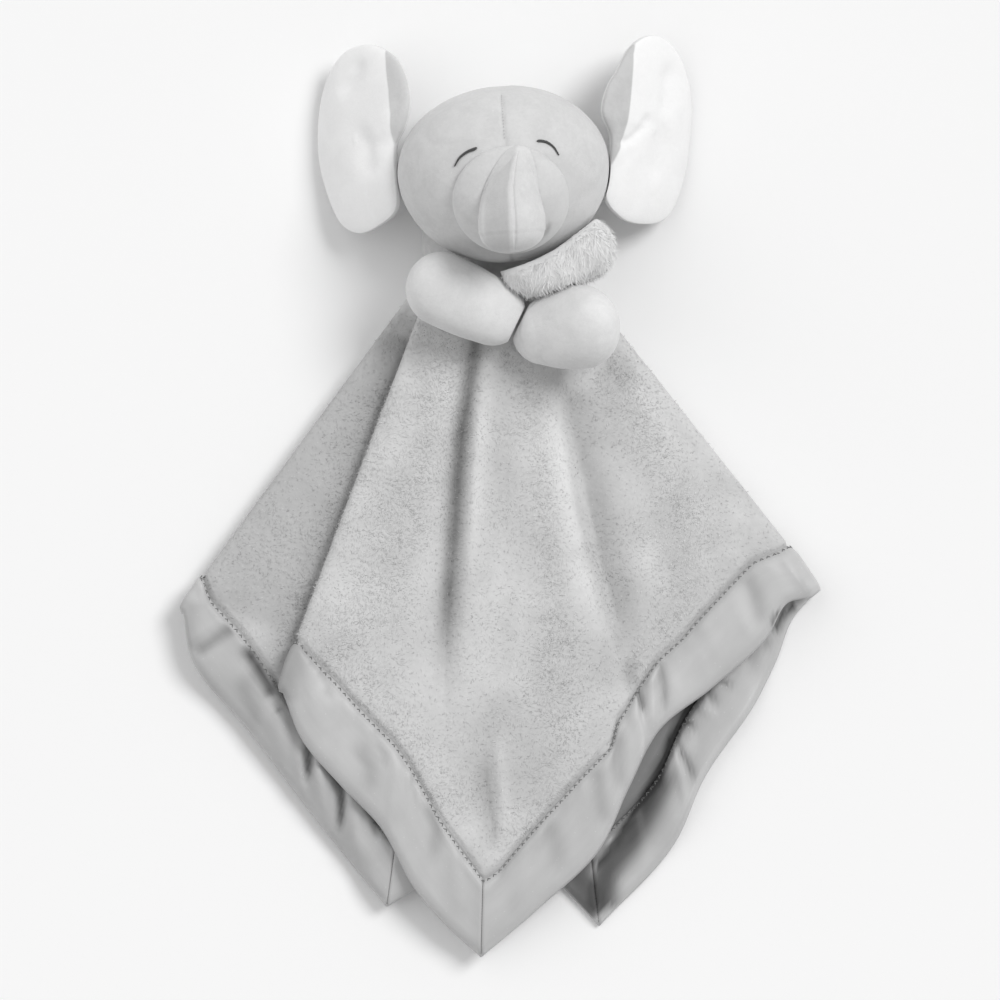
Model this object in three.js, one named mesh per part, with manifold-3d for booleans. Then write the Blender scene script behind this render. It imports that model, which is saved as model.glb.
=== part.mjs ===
// Comfort blanket lovey with a stuffed elephant's head, in millimetres.
// It lies flat on its back: +Z is up from the table, +Y points to the crown, +X is the viewer's right.

import * as THREE from 'three';
import { mergeVertices } from 'three/addons/utils/BufferGeometryUtils.js';
import Module from 'manifold-3d';

const wasm = await Module();
wasm.setup();
const { Manifold, Mesh } = wasm;

// Blanket: a square of plush and lining, bound in satin, folded into six layers
const BLANKET_SIDE = 427;
const PLUSH_THICKNESS = 2.0;
const LINING_THICKNESS = 0.6;
const SKIN_GAP = 0.3;
const LAYER_AIR = 0.7;
const BINDING_WIDTH_SHARE = 0.12;
const SATIN_THICKNESS = 0.35;
const SATIN_GAP = 0.2;
const BOUND_EDGE_SHARE = 0.45;
const MITRE_GAP_SHARE = 0.02;
const NECK_WIDTH = 72;
const NECK_CENTRE = [-0.9, 96.5];

// Hem, walked round once: shares of the blanket's side to the right of and above the neck's centre,
// share of the neck's half width where the ray starts, layer level, drop at the hem in levels
const FRONT_HEM = [
  [-0.020, -0.710, -0.04, 5.0, 2.4],
  [-0.057, -0.676, -0.20, 5.8, 1.5],
  [-0.090, -0.637, -0.32, 5.0, 0.7],
  [-0.127, -0.571, -0.44, 6.0, 0.4],
  [-0.169, -0.527, -0.56, 5.3, 0.1],
  [-0.210, -0.478, -0.67, 5.1, 0.0],
];
const FIRST_LEFT_FOLD = [-0.233, -0.429, -0.84, 5.0, 4.0];
const SECOND_HEM = [
  [-0.116, -0.457, -0.44, 4.0, 0.0],
  [0.000, -0.486, 0.00, 4.0, 0.0],
];
const FIRST_RIGHT_FOLD = [0.118, -0.517, 0.44, 4.0, 3.0];
const THIRD_HEM = [
  [-0.001, -0.587, 0.06, 3.0, 0.3],
  [-0.120, -0.657, -0.31, 3.0, 1.3],
  [-0.190, -0.571, -0.52, 3.0, 1.0],
  [-0.264, -0.473, -0.70, 3.0, 0.4],
  [-0.328, -0.388, -0.86, 3.0, 0.1],
];
const SECOND_LEFT_FOLD = [-0.338, -0.345, -1.00, 3.0, 2.0];
const FOURTH_HEM = [
  [-0.190, -0.408, -0.56, 2.0, 0.0],
  [-0.047, -0.467, -0.10, 2.0, 0.0],
];
const SECOND_RIGHT_FOLD = [0.095, -0.522, 0.35, 2.0, 1.0];
const FIFTH_HEM = [
  [0.038, -0.597, 0.19, 1.0, 0.0],
  [-0.019, -0.671, -0.04, 1.0, 0.0],
  [-0.118, -0.572, -0.38, 1.0, 0.0],
  [-0.217, -0.473, -0.69, 1.0, 0.0],
];
const THIRD_LEFT_FOLD = [-0.320, -0.362, -0.99, 1.0, 0.08];
const BOTTOM_HEM = [
  [-0.197, -0.454, -0.63, 0.0, -0.3],
  [-0.077, -0.533, -0.23, 0.08, 0.0],
  [0.042, -0.613, 0.10, 0.08, 0.0],
  [0.105, -0.678, 0.30, 0.08, 0.0],
  [0.188, -0.585, 0.45, 0.08, 0.0],
  [0.214, -0.525, 0.56, 0.0, -0.3],
  [0.274, -0.435, 0.70, 0.08, 0.0],
  [0.293, -0.396, 0.79, 0.08, 0.0],
  [0.311, -0.351, 0.88, 0.08, 0.0],
];
const THIRD_RIGHT_FOLD = [0.339, -0.322, 1.00, 0.08, 1.8];
const RETURN_HEM = [
  [0.306, -0.334, 0.87, 1.8, 0.0],
  [0.283, -0.370, 0.78, 1.5, 0.0],
  [0.223, -0.426, 0.69, 1.3, 0.0],
  [0.169, -0.469, 0.60, 2.2, 0.0],
  [0.137, -0.529, 0.50, 4.8, 0.2],
  [0.105, -0.596, 0.37, 5.7, 0.8],
  [0.042, -0.657, 0.19, 5.2, 1.6],
];
const FOLD_STEPS = 4;
const SHEET_ROW_SHARES = [0, 0.25, 0.5, 0.7];
const BOUND_ROW_SHARE = 0.62;

// Head
const HEAD_CENTRE = [0.7, 148.5];
const HEAD_WIDTH = 95.4;
const HEAD_DEPTH = 78;
const CROWN_HEIGHT = 37.3;
const CHIN_HEIGHT = 42.3;
const HEAD_TILT_DEG = 4;
const VELOUR_THICKNESS = 1.5;
const SEAM_GAP = 0.3;
const FILLING_GAP = 0.6;
const RUNNING_GAP = 0.4;
const TABLE_FLAT = 0.5;
const BACK_SEAM_SHARE = 0.42;
const HEAD_SIDES = 28;
const HEAD_BANDS = 12;

// Muzzle patch and closed eyes
const MUZZLE_OFFSET = [2.1, -14.5];
const MUZZLE_WIDTH = 51;
const MUZZLE_HEIGHT = 46;
const MUZZLE_RISE = 7;
const MUZZLE_RIM = 0.5;
const EYE_THREAD_WIDTH = 1.3;
const LEFT_EYE_POINTS = [[-22.2, 2.3], [-20.0, 5.9], [-16.4, 8.3], [-12.3, 9.5]];
const RIGHT_EYE_POINTS = [[15.0, 12.2], [19.0, 11.4], [22.2, 9.2], [24.5, 5.8]];

// Trunk: stations from root to tip as shares of its length, width and depth
const TRUNK_OFFSET = [1.9, 8.2];
const TRUNK_LENGTH = 47;
const TRUNK_WIDTH = 29;
const TRUNK_DEPTH = 22;
const TRUNK_ARCH = 6.5;
const TRUNK_SIDES = 18;
const TRUNK_STATION_SHARES = [0.03, 0.1, 0.24, 0.4, 0.56, 0.7, 0.81, 0.9, 0.97];
const TRUNK_SWELL_SHARES = [0.2, 0.34, 0.53, 0.72, 0.88, 0.98, 1.0, 0.85, 0.52];

// Ears: outline shares of the half width and half height, from the inner side round the crown
const EAR_WIDTH = 58;
const EAR_HEIGHT = 84.5;
const EAR_THICKNESS = 13;
const EAR_SLOPE_DEG = 45;
const EAR_EDGE_THICKNESS = 1.6;
const EAR_ROOT_GAP = 0.6;
const EAR_REST = 1.0;
const EAR_SIDES = 26;
const EAR_BANDS = 3;
const LEFT_EAR_RISE = 13.7;
const RIGHT_EAR_RISE = 17.8;
const RIGHT_EAR_LEAN_DEG = 3;
const LEFT_EAR_SHARES = [
  [0.70, -0.08], [0.91, 0.15], [1.00, 0.41], [0.86, 0.72], [0.45, 0.95], [-0.07, 1.00], [-0.54, 0.87],
  [-0.90, 0.50], [-1.00, -0.10], [-0.77, -0.61], [-0.48, -0.90], [-0.13, -1.00], [0.33, -0.93], [0.74, -0.72],
  [0.71, -0.40],
];
const RIGHT_EAR_SHARES = [
  [0.74, -0.10], [0.96, 0.18], [0.88, 0.40], [0.66, 0.62], [0.48, 0.82], [0.16, 0.98], [-0.26, 1.00],
  [-0.66, 0.82], [-0.98, 0.34], [-0.98, -0.04], [-0.92, -0.42], [-0.64, -0.86], [0.04, -1.00], [0.50, -0.93],
  [0.80, -0.74], [0.74, -0.42],
];

// Arms: shoulder and hand as offsets from the neck's centre, with the radius seen from above
const LEFT_SHOULDER = [-26.1, -1.9];
const LEFT_HAND = [-3.4, -12.6];
const LEFT_SHOULDER_RADIUS = 16.8;
const LEFT_HAND_RADIUS = 15;
const RIGHT_SHOULDER = [36.0, -19.3];
const RIGHT_HAND = [19.0, -21.7];
const RIGHT_SHOULDER_RADIUS = 19.2;
const RIGHT_HAND_RADIUS = 14.4;
const HAND_FLATNESS_SHARE = 0.88;
const ARM_REST_GAP = 0.5;
const ARM_SIDES = 20;
const HANDS_MEET_TOP = [13.5, -6.7];
const HANDS_MEET_BOTTOM = [3.6, -27.0];
const HANDS_GAP = 1.0;

// Neck and the hugged tuft, as offsets from the neck's centre
const NECK_LENGTH = 24;
const NECK_REST = 0.6;
const NECK_END_GAP = 0.8;
const TUFT_GAP = 1.1;
const TUFT_LOBES = [
  [13.5, 4.5, 14, 10, 15],
  [26.0, 11.0, 16, 13, 17],
  [38.0, 17.0, 12.5, 12, 15],
];

const COLOURS = {
  velour: 0xcfcfcf,
  plush: 0xc6c6c6,
  lining: 0xb8b8b8,
  satin: 0xbcbcbc,
  white: 0xf2f2f2,
  thread: 0x505050,
  filling: 0xe6e6e6,
};

const STACK_THICKNESS = PLUSH_THICKNESS + SKIN_GAP + LINING_THICKNESS;
const HALF_STACK = STACK_THICKNESS / 2;
const LAYER_PITCH = STACK_THICKNESS + LAYER_AIR;
const TOP_LEVEL = 6;
const CLOTH_TOP = HALF_STACK + TOP_LEVEL * LAYER_PITCH + HALF_STACK;
const ARM_FLOOR = CLOTH_TOP + ARM_REST_GAP;
const HEAD_LIFT = HEAD_DEPTH / 2 - TABLE_FLAT;
const HEAD_TILT = THREE.MathUtils.degToRad(HEAD_TILT_DEG);

// Mesh and solid helpers

function geometryOf(points, faces) {
  const geometry = new THREE.BufferGeometry();
  const flat = points.flatMap((p) => [p.x, p.y, p.z]);
  geometry.setAttribute('position', new THREE.Float32BufferAttribute(flat, 3));
  geometry.setIndex(faces.flat());
  return geometry;
}

function solidOf(geometry) {
  const bare = geometry.clone();
  bare.deleteAttribute('normal');
  bare.deleteAttribute('uv');
  const merged = mergeVertices(bare, 1e-5);
  const mesh = new Mesh({
    numProp: 3,
    vertProperties: new Float32Array(merged.attributes.position.array),
    triVerts: new Uint32Array(merged.index.array),
  });
  mesh.merge();
  return new Manifold(mesh);
}

function geometryFromSolid(solid) {
  const mesh = solid.getMesh();
  const geometry = new THREE.BufferGeometry();
  const count = mesh.vertProperties.length / mesh.numProp;
  const positions = new Float32Array(count * 3);
  for (let i = 0; i < count; i += 1) {
    positions.set(mesh.vertProperties.slice(i * mesh.numProp, i * mesh.numProp + 3), i * 3);
  }
  geometry.setAttribute('position', new THREE.BufferAttribute(positions, 3));
  geometry.setIndex(new THREE.BufferAttribute(new Uint32Array(mesh.triVerts), 1));
  return geometry;
}

function largestBody(solid) {
  const bodies = solid.decompose();
  return bodies.reduce((best, body) => (body.volume() > best.volume() ? body : best));
}

function piece(name, shape, colour) {
  const geometry = shape instanceof THREE.BufferGeometry ? shape : geometryFromSolid(largestBody(shape));
  geometry.computeVertexNormals();
  const material = new THREE.MeshStandardMaterial({ color: COLOURS[colour], roughness: 0.9 });
  const mesh = new THREE.Mesh(geometry, material);
  mesh.name = name;
  return mesh;
}

// Rings of points from one pole to the other, closed at both ends
function ringForm(rings, startPole, endPole) {
  const count = rings[0].length;
  const points = [startPole, ...rings.flat(), endPole];
  const faces = [];
  const at = (ring, k) => 1 + ring * count + (k % count);
  for (let k = 0; k < count; k += 1) {
    faces.push([0, at(0, k + 1), at(0, k)]);
    faces.push([points.length - 1, at(rings.length - 1, k), at(rings.length - 1, k + 1)]);
  }
  for (let ring = 0; ring < rings.length - 1; ring += 1) {
    for (let k = 0; k < count; k += 1) {
      faces.push([at(ring, k), at(ring, k + 1), at(ring + 1, k + 1)]);
      faces.push([at(ring, k), at(ring + 1, k + 1), at(ring + 1, k)]);
    }
  }
  return facingOut(points, faces);
}

function signedVolume(points, faces) {
  const cross = new THREE.Vector3();
  const sum = (total, [a, b, c]) => total + points[a].dot(cross.crossVectors(points[b], points[c]));
  return faces.reduce(sum, 0) / 6;
}

function facingOut(points, faces) {
  const turned = signedVolume(points, faces) < 0 ? faces.map(([a, b, c]) => [a, c, b]) : faces;
  return geometryOf(points, turned);
}

function ellipsoidForm(centre, radii, around = 20, along = 10) {
  const geometry = new THREE.SphereGeometry(1, around, along);
  geometry.scale(radii[0], radii[1], radii[2]);
  geometry.translate(centre[0], centre[1], centre[2]);
  return solidOf(geometry);
}

function slabBox(min, max) {
  const geometry = new THREE.BoxGeometry(max[0] - min[0], max[1] - min[1], max[2] - min[2]);
  geometry.translate((min[0] + max[0]) / 2, (min[1] + max[1]) / 2, (min[2] + max[2]) / 2);
  return solidOf(geometry);
}

function aboveTable(solid) {
  const reach = BLANKET_SIDE;
  return solid.subtract(slabBox([-reach, -reach, -reach], [reach, reach, 0]));
}

function turnedAbout(solid, centre, axis, degrees) {
  const turn = new THREE.Matrix4().makeTranslation(centre.x, centre.y, centre.z);
  turn.multiply(new THREE.Matrix4().makeRotationAxis(axis, THREE.MathUtils.degToRad(degrees)));
  turn.multiply(new THREE.Matrix4().makeTranslation(-centre.x, -centre.y, -centre.z));
  return solid.transform(turn.elements);
}

// Folded blanket: rays from the gathered neck to the hem

function hemColumns() {
  const straight = (rows) => rows.map((row) => ({ row, fold: null }));
  const folded = (row, side) => {
    const columns = [];
    for (let k = 0; k <= FOLD_STEPS; k += 1) {
      columns.push({ row, fold: { side, turn: k / FOLD_STEPS } });
    }
    return columns;
  };
  return [
    ...straight(FRONT_HEM),
    ...folded(FIRST_LEFT_FOLD, -1),
    ...straight(SECOND_HEM),
    ...folded(FIRST_RIGHT_FOLD, 1),
    ...straight(THIRD_HEM),
    ...folded(SECOND_LEFT_FOLD, -1),
    ...straight(FOURTH_HEM),
    ...folded(SECOND_RIGHT_FOLD, 1),
    ...straight(FIFTH_HEM),
    ...folded(THIRD_LEFT_FOLD, -1),
    ...straight(BOTTOM_HEM),
    ...folded(THIRD_RIGHT_FOLD, 1),
    ...straight(RETURN_HEM),
  ];
}

const COLUMNS = hemColumns();
const CORNER_ROWS = [FRONT_HEM[0], THIRD_HEM[1], FIFTH_HEM[1], BOTTOM_HEM[3]];

function rayPoint(column, share) {
  const [right, up, neckShare, level, last] = column.row;
  const hem = new THREE.Vector2(NECK_CENTRE[0] + right * BLANKET_SIDE, NECK_CENTRE[1] + up * BLANKET_SIDE);
  const neck = new THREE.Vector2(NECK_CENTRE[0] + (neckShare * NECK_WIDTH) / 2, NECK_CENTRE[1]);
  const spot = neck.clone().lerp(hem, share);
  if (!column.fold) {
    const bound = 1 - BINDING_WIDTH_SHARE;
    const drop = last * Math.max(0, (share - bound) / BINDING_WIDTH_SHARE);
    return new THREE.Vector3(spot.x, spot.y, HALF_STACK + (level - drop) * LAYER_PITCH);
  }
  const ray = hem.clone().sub(neck).normalize();
  const outward = new THREE.Vector2(-ray.y, ray.x).multiplyScalar(column.fold.side);
  const radius = (Math.abs(level - last) * LAYER_PITCH) / 2;
  const angle = Math.PI * (0.5 - column.fold.turn) * Math.sign(level - last);
  const reach = radius * (Math.cos(angle) - 1);
  const height = HALF_STACK + ((level + last) / 2) * LAYER_PITCH + radius * Math.sin(angle);
  return new THREE.Vector3(spot.x + outward.x * reach, spot.y + outward.y * reach, height);
}

function offsetPoint(before, column, after, share, offset) {
  const here = rayPoint(column, share);
  const step = 0.01;
  const inner = Math.max(share - step, 0);
  const outward = rayPoint(column, inner + step).sub(rayPoint(column, inner));
  const arriving = here.clone().sub(rayPoint(before, share)).cross(outward).normalize();
  const leaving = rayPoint(after, share).sub(here).cross(outward).normalize();
  const normal = arriving.add(leaving);
  const mitre = Math.min(2 / normal.length(), 1.15);
  return here.addScaledVector(normal.normalize(), offset * mitre);
}

// Section: pairs of outer and inner points, each a ray share and an offset from the cloth's middle
function shellLoft(columns, section, closed) {
  const points = [];
  columns.forEach(({ before, column, after }) => {
    section.forEach(([outerShare, outerOffset, innerShare, innerOffset]) => {
      points.push(offsetPoint(before, column, after, outerShare, outerOffset));
      points.push(offsetPoint(before, column, after, innerShare, innerOffset));
    });
  });
  const rows = section.length;
  const last = closed ? columns.length : columns.length - 1;
  const outer = (i, k) => ((i % columns.length) * rows + k) * 2;
  const inner = (i, k) => outer(i, k) + 1;
  const faces = [];
  const quad = (a, b, c, d) => faces.push([a, b, c], [a, c, d]);
  const turnedQuad = (a, b, c, d) => faces.push([a, b, d], [b, c, d]);
  for (let i = 0; i < last; i += 1) {
    for (let k = 0; k < rows - 1; k += 1) {
      const split = section[k + 1][0] < section[k][0] ? turnedQuad : quad;
      split(outer(i, k), outer(i + 1, k), outer(i + 1, k + 1), outer(i, k + 1));
      split(inner(i, k), inner(i, k + 1), inner(i + 1, k + 1), inner(i + 1, k));
    }
    quad(inner(i, 0), inner(i + 1, 0), outer(i + 1, 0), outer(i, 0));
    quad(outer(i, rows - 1), outer(i + 1, rows - 1), inner(i + 1, rows - 1), inner(i, rows - 1));
  }
  if (!closed) {
    for (let k = 0; k < rows - 1; k += 1) {
      quad(outer(0, k), outer(0, k + 1), inner(0, k + 1), inner(0, k));
      quad(inner(last, k), inner(last, k + 1), outer(last, k + 1), outer(last, k));
    }
  }
  return facingOut(points, faces);
}

function ringOfColumns() {
  const count = COLUMNS.length;
  return COLUMNS.map((column, i) => ({
    before: COLUMNS[(i + count - 1) % count],
    column,
    after: COLUMNS[(i + 1) % count],
  }));
}

function sheetSection(looseOuter, looseInner, boundOuter, boundInner) {
  const bound = 1 - BINDING_WIDTH_SHARE;
  const entry = bound - BINDING_WIDTH_SHARE / 10;
  const end = bound + BINDING_WIDTH_SHARE * BOUND_ROW_SHARE;
  const rows = SHEET_ROW_SHARES.map((share) => [share, looseOuter, share, looseInner]);
  rows.push([entry, looseOuter, entry, looseInner]);
  rows.push([bound, boundOuter, bound, boundInner]);
  rows.push([end, boundOuter, end, boundInner]);
  return rows;
}

const HALF_BOUND = HALF_STACK * (1 - BOUND_EDGE_SHARE) - 0.05;
const BOUND_PLUSH = PLUSH_THICKNESS * BOUND_EDGE_SHARE;
const BOUND_LINING = HALF_BOUND * 2 - BOUND_PLUSH - SATIN_GAP;

function plushSheet() {
  const section = sheetSection(HALF_STACK, HALF_STACK - PLUSH_THICKNESS, HALF_BOUND, HALF_BOUND - BOUND_PLUSH);
  return piece('blanket_plush', shellLoft(ringOfColumns(), section, true), 'plush');
}

function liningSheet() {
  const boundOuter = BOUND_LINING - HALF_BOUND;
  const section = sheetSection(LINING_THICKNESS - HALF_STACK, -HALF_STACK, boundOuter, -HALF_BOUND);
  return piece('blanket_lining', shellLoft(ringOfColumns(), section, true), 'lining');
}

function bindingSection() {
  const bound = 1 - BINDING_WIDTH_SHARE;
  const end = bound + BINDING_WIDTH_SHARE * BOUND_ROW_SHARE;
  const inner = HALF_BOUND + SATIN_GAP;
  const outer = inner + SATIN_THICKNESS;
  const bend = 1 - BINDING_WIDTH_SHARE / 12;
  const stop = bend - BINDING_WIDTH_SHARE / 8;
  return [
    [bound, outer, bound, inner],
    [end, outer, end, inner],
    [bend, outer, stop, inner],
    [1, outer / 2, bend, inner / 2],
    [1, -outer / 2, bend, -inner / 2],
    [bend, -outer, stop, -inner],
    [end, -outer, end, -inner],
    [bound, -outer, bound, -inner],
  ];
}

// A column just inside a mitred corner, part way towards its neighbour
function mitreColumn(corner, neighbour) {
  const mixed = corner.row.map((value, k) => THREE.MathUtils.lerp(value, neighbour.row[k], MITRE_GAP_SHARE));
  return { row: mixed, fold: null };
}

function bindingStrip(name, fromRow, toRow) {
  const count = COLUMNS.length;
  const from = COLUMNS.findIndex((column) => column.row === fromRow);
  const to = COLUMNS.findIndex((column) => column.row === toRow);
  const steps = (to - from + count) % count;
  const walk = [];
  for (let k = 0; k <= steps; k += 1) {
    walk.push(COLUMNS[(from + k) % count]);
  }
  const first = mitreColumn(walk[0], walk[1]);
  const last = mitreColumn(walk[steps], walk[steps - 1]);
  const path = [first, ...walk.slice(1, steps), last];
  const columns = path.map((column, i) => ({
    before: i === 0 ? walk[0] : path[i - 1],
    column,
    after: i === path.length - 1 ? walk[steps] : path[i + 1],
  }));
  return piece(name, shellLoft(columns, bindingSection(), false), 'satin');
}

function bindingStrips() {
  const [front, left, back, right] = CORNER_ROWS;
  return [
    bindingStrip('binding_front_left', front, left),
    bindingStrip('binding_left_back', left, back),
    bindingStrip('binding_back_right', back, right),
    bindingStrip('binding_right_front', right, front),
  ];
}

// Head

const headAxis = new THREE.Vector3(-Math.sin(HEAD_TILT), Math.cos(HEAD_TILT), 0);
const headMiddle = new THREE.Vector3(HEAD_CENTRE[0], HEAD_CENTRE[1], HEAD_LIFT);

function fromHead(right, up, out) {
  const point = new THREE.Vector3(right, up, out).applyAxisAngle(new THREE.Vector3(0, 0, 1), HEAD_TILT);
  return point.add(headMiddle);
}

function headForm(grow, depth = HEAD_DEPTH, around = HEAD_SIDES, bands = HEAD_BANDS) {
  const halfWidth = HEAD_WIDTH / 2 + grow;
  const halfDepth = depth / 2 + grow;
  const rings = [];
  for (let i = 1; i < bands; i += 1) {
    const latitude = Math.PI * (i / bands - 0.5);
    const height = (latitude > 0 ? CROWN_HEIGHT : CHIN_HEIGHT) + grow;
    const ring = [];
    for (let k = 0; k < around; k += 1) {
      const angle = (2 * Math.PI * k) / around;
      const width = halfWidth * Math.cos(latitude) * Math.cos(angle);
      ring.push(fromHead(width, height * Math.sin(latitude), halfDepth * Math.cos(latitude) * Math.sin(angle)));
    }
    rings.push(ring);
  }
  return solidOf(ringForm(rings, fromHead(0, -CHIN_HEIGHT - grow, 0), fromHead(0, CROWN_HEIGHT + grow, 0)));
}

// Height of the face above the head's middle plane, at a place measured in the head's own tilt
function faceRise(right, up) {
  const height = up > 0 ? CROWN_HEIGHT : CHIN_HEIGHT;
  const reach = (right / (HEAD_WIDTH / 2)) ** 2 + (up / height) ** 2;
  return (HEAD_DEPTH / 2) * Math.sqrt(Math.max(0, 1 - reach));
}

function faceNormal(right, up) {
  const height = up > 0 ? CROWN_HEIGHT : CHIN_HEIGHT;
  const rise = faceRise(right, up);
  const slope = [right / (HEAD_WIDTH / 2) ** 2, up / height ** 2, rise / (HEAD_DEPTH / 2) ** 2];
  return new THREE.Vector3(...slope).normalize();
}

function facePoint(right, up, lift) {
  const spot = new THREE.Vector3(right, up, faceRise(right, up)).addScaledVector(faceNormal(right, up), lift);
  return fromHead(spot.x, spot.y, spot.z);
}

// Half space on one side of a seam plane in the head's own tilt, as a large block
function headBlock(min, max) {
  const reach = BLANKET_SIDE;
  const low = min.map((value) => (value === null ? -reach : value));
  const high = max.map((value) => (value === null ? reach : value));
  const block = slabBox(low, high);
  const place = new THREE.Matrix4().makeTranslation(headMiddle.x, headMiddle.y, headMiddle.z);
  place.multiply(new THREE.Matrix4().makeRotationZ(HEAD_TILT));
  return block.transform(place.elements);
}

function headPieces() {
  const outer = aboveTable(headForm(0));
  const inner = headForm(-VELOUR_THICKNESS).subtract(
    slabBox([-BLANKET_SIDE, -BLANKET_SIDE, -BLANKET_SIDE], [BLANKET_SIDE, BLANKET_SIDE, VELOUR_THICKNESS]),
  );
  const shell = outer.subtract(inner);
  const seam = -HEAD_DEPTH * BACK_SEAM_SHARE * 0.5;
  const half = SEAM_GAP / 2;
  const inset = VELOUR_THICKNESS + FILLING_GAP;
  const filling = headForm(-inset, HEAD_DEPTH, HEAD_SIDES - 8, HEAD_BANDS - 4).subtract(
    slabBox([-BLANKET_SIDE, -BLANKET_SIDE, -BLANKET_SIDE], [BLANKET_SIDE, BLANKET_SIDE, inset]),
  );
  return [
    piece('face_left', shell.intersect(headBlock([null, null, seam + half], [-half, null, null])), 'velour'),
    piece('face_right', shell.intersect(headBlock([half, null, seam + half], [null, null, null])), 'velour'),
    piece('head_back', shell.intersect(headBlock([null, null, null], [null, null, seam - half])), 'velour'),
    piece('head_stuffing', filling, 'filling'),
  ];
}

// Muzzle: a domed patch on the face
function muzzleForm(grow, lift) {
  const around = 24;
  const bands = 3;
  const outer = [];
  const inner = [];
  for (let i = 1; i <= bands; i += 1) {
    const share = Math.sin((Math.PI / 2) * (i / bands));
    const dome = (MUZZLE_RISE - MUZZLE_RIM) * Math.sqrt(Math.max(0, 1 - share * share)) + MUZZLE_RIM;
    const top = [];
    const low = [];
    for (let k = 0; k < around; k += 1) {
      const angle = (2 * Math.PI * k) / around;
      const right = MUZZLE_OFFSET[0] + (MUZZLE_WIDTH / 2 + grow) * share * Math.cos(angle);
      const up = MUZZLE_OFFSET[1] + (MUZZLE_HEIGHT / 2 + grow) * share * Math.sin(angle);
      top.push(facePoint(right, up, SEAM_GAP + dome + grow));
      low.push(facePoint(right, up, lift));
    }
    outer.push(top);
    inner.push(low);
  }
  const crest = facePoint(MUZZLE_OFFSET[0], MUZZLE_OFFSET[1], SEAM_GAP + MUZZLE_RISE + grow);
  const base = facePoint(MUZZLE_OFFSET[0], MUZZLE_OFFSET[1], lift);
  return solidOf(ringForm([...outer, ...inner.reverse()], crest, base));
}

function threadAlong(points, name) {
  const lift = EYE_THREAD_WIDTH / 2 + 0.15;
  const spots = points.map(([right, up]) => facePoint(right, up, lift));
  const curve = new THREE.CatmullRomCurve3(spots);
  const steps = 6;
  const sides = 6;
  const frames = curve.computeFrenetFrames(steps, false);
  const rings = [];
  for (let i = 0; i <= steps; i += 1) {
    const centre = curve.getPointAt(i / steps);
    const width = (EYE_THREAD_WIDTH / 2) * (i === 0 || i === steps ? 0.6 : 1);
    const ring = [];
    for (let k = 0; k < sides; k += 1) {
      const angle = (2 * Math.PI * k) / sides;
      const side = frames.normals[i].clone().multiplyScalar(Math.cos(angle) * width);
      side.addScaledVector(frames.binormals[i], Math.sin(angle) * width);
      ring.push(centre.clone().add(side));
    }
    rings.push(ring);
  }
  return piece(name, ringForm(rings, spots[0], spots[spots.length - 1]), 'thread');
}

// Trunk

function trunkCentre(share) {
  const right = TRUNK_OFFSET[0] - share * 1.2;
  const up = TRUNK_OFFSET[1] - share * TRUNK_LENGTH;
  const rise = faceRise(TRUNK_OFFSET[0], TRUNK_OFFSET[1]) + TRUNK_ARCH * Math.sin(Math.PI * share * 0.72);
  return [right, up, rise];
}

function trunkForm(shrink, around = TRUNK_SIDES) {
  const rings = TRUNK_STATION_SHARES.map((share, i) => {
    const [right, up, rise] = trunkCentre(share);
    const halfWidth = Math.max((TRUNK_WIDTH / 2) * TRUNK_SWELL_SHARES[i] - shrink, 0.4);
    const halfDepth = Math.max((TRUNK_DEPTH / 2) * TRUNK_SWELL_SHARES[i] - shrink, 0.4);
    const ring = [];
    for (let k = 0; k < around; k += 1) {
      const angle = (2 * Math.PI * k) / around;
      ring.push(fromHead(right + halfWidth * Math.cos(angle), up, rise + halfDepth * Math.sin(angle)));
    }
    return ring;
  });
  const squeeze = shrink / TRUNK_LENGTH;
  return solidOf(ringForm(rings, fromHead(...trunkCentre(squeeze)), fromHead(...trunkCentre(1 - squeeze))));
}

function trunkPieces() {
  const cut = (shrink, sides) => trunkForm(shrink, sides).subtract(headForm(RUNNING_GAP + shrink)).subtract(
    muzzleForm(RUNNING_GAP + shrink, -MUZZLE_RISE),
  );
  const shell = cut(0).subtract(cut(VELOUR_THICKNESS));
  const half = SEAM_GAP / 2;
  const seam = TRUNK_OFFSET[0] - 0.6;
  return [
    piece('trunk_left', shell.intersect(headBlock([null, null, null], [seam - half, null, null])), 'velour'),
    piece('trunk_right', shell.intersect(headBlock([seam + half, null, null], [null, null, null])), 'velour'),
    piece('trunk_stuffing', cut(VELOUR_THICKNESS + FILLING_GAP, TRUNK_SIDES - 6), 'filling'),
  ];
}

// Ears

function earFrame(side) {
  const slope = THREE.MathUtils.degToRad(EAR_SLOPE_DEG);
  const lean = side > 0 ? THREE.MathUtils.degToRad(-RIGHT_EAR_LEAN_DEG) : 0;
  const halfPlan = (EAR_WIDTH / 2) * Math.cos(slope);
  const shares = side > 0 ? RIGHT_EAR_SHARES : LEFT_EAR_SHARES;
  const rootShare = shares[0][0];
  const headSide = HEAD_WIDTH / 2 + EAR_ROOT_GAP;
  const centre = new THREE.Vector3(
    HEAD_CENTRE[0] + side * (headSide + halfPlan * rootShare),
    HEAD_CENTRE[1] + (side > 0 ? RIGHT_EAR_RISE : LEFT_EAR_RISE),
    (EAR_WIDTH / 2) * Math.sin(slope) + EAR_EDGE_THICKNESS / 2 + EAR_REST,
  );
  const inward = new THREE.Vector3(-side * Math.cos(slope), 0, Math.sin(slope));
  const upward = new THREE.Vector3(0, 1, 0).applyAxisAngle(new THREE.Vector3(0, 0, 1), lean);
  inward.applyAxisAngle(new THREE.Vector3(0, 0, 1), lean);
  const front = new THREE.Vector3().crossVectors(inward, upward).multiplyScalar(side < 0 ? 1 : -1);
  if (front.z < 0) {
    front.negate();
  }
  return { centre, inward, upward, front, shares, side };
}

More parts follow.
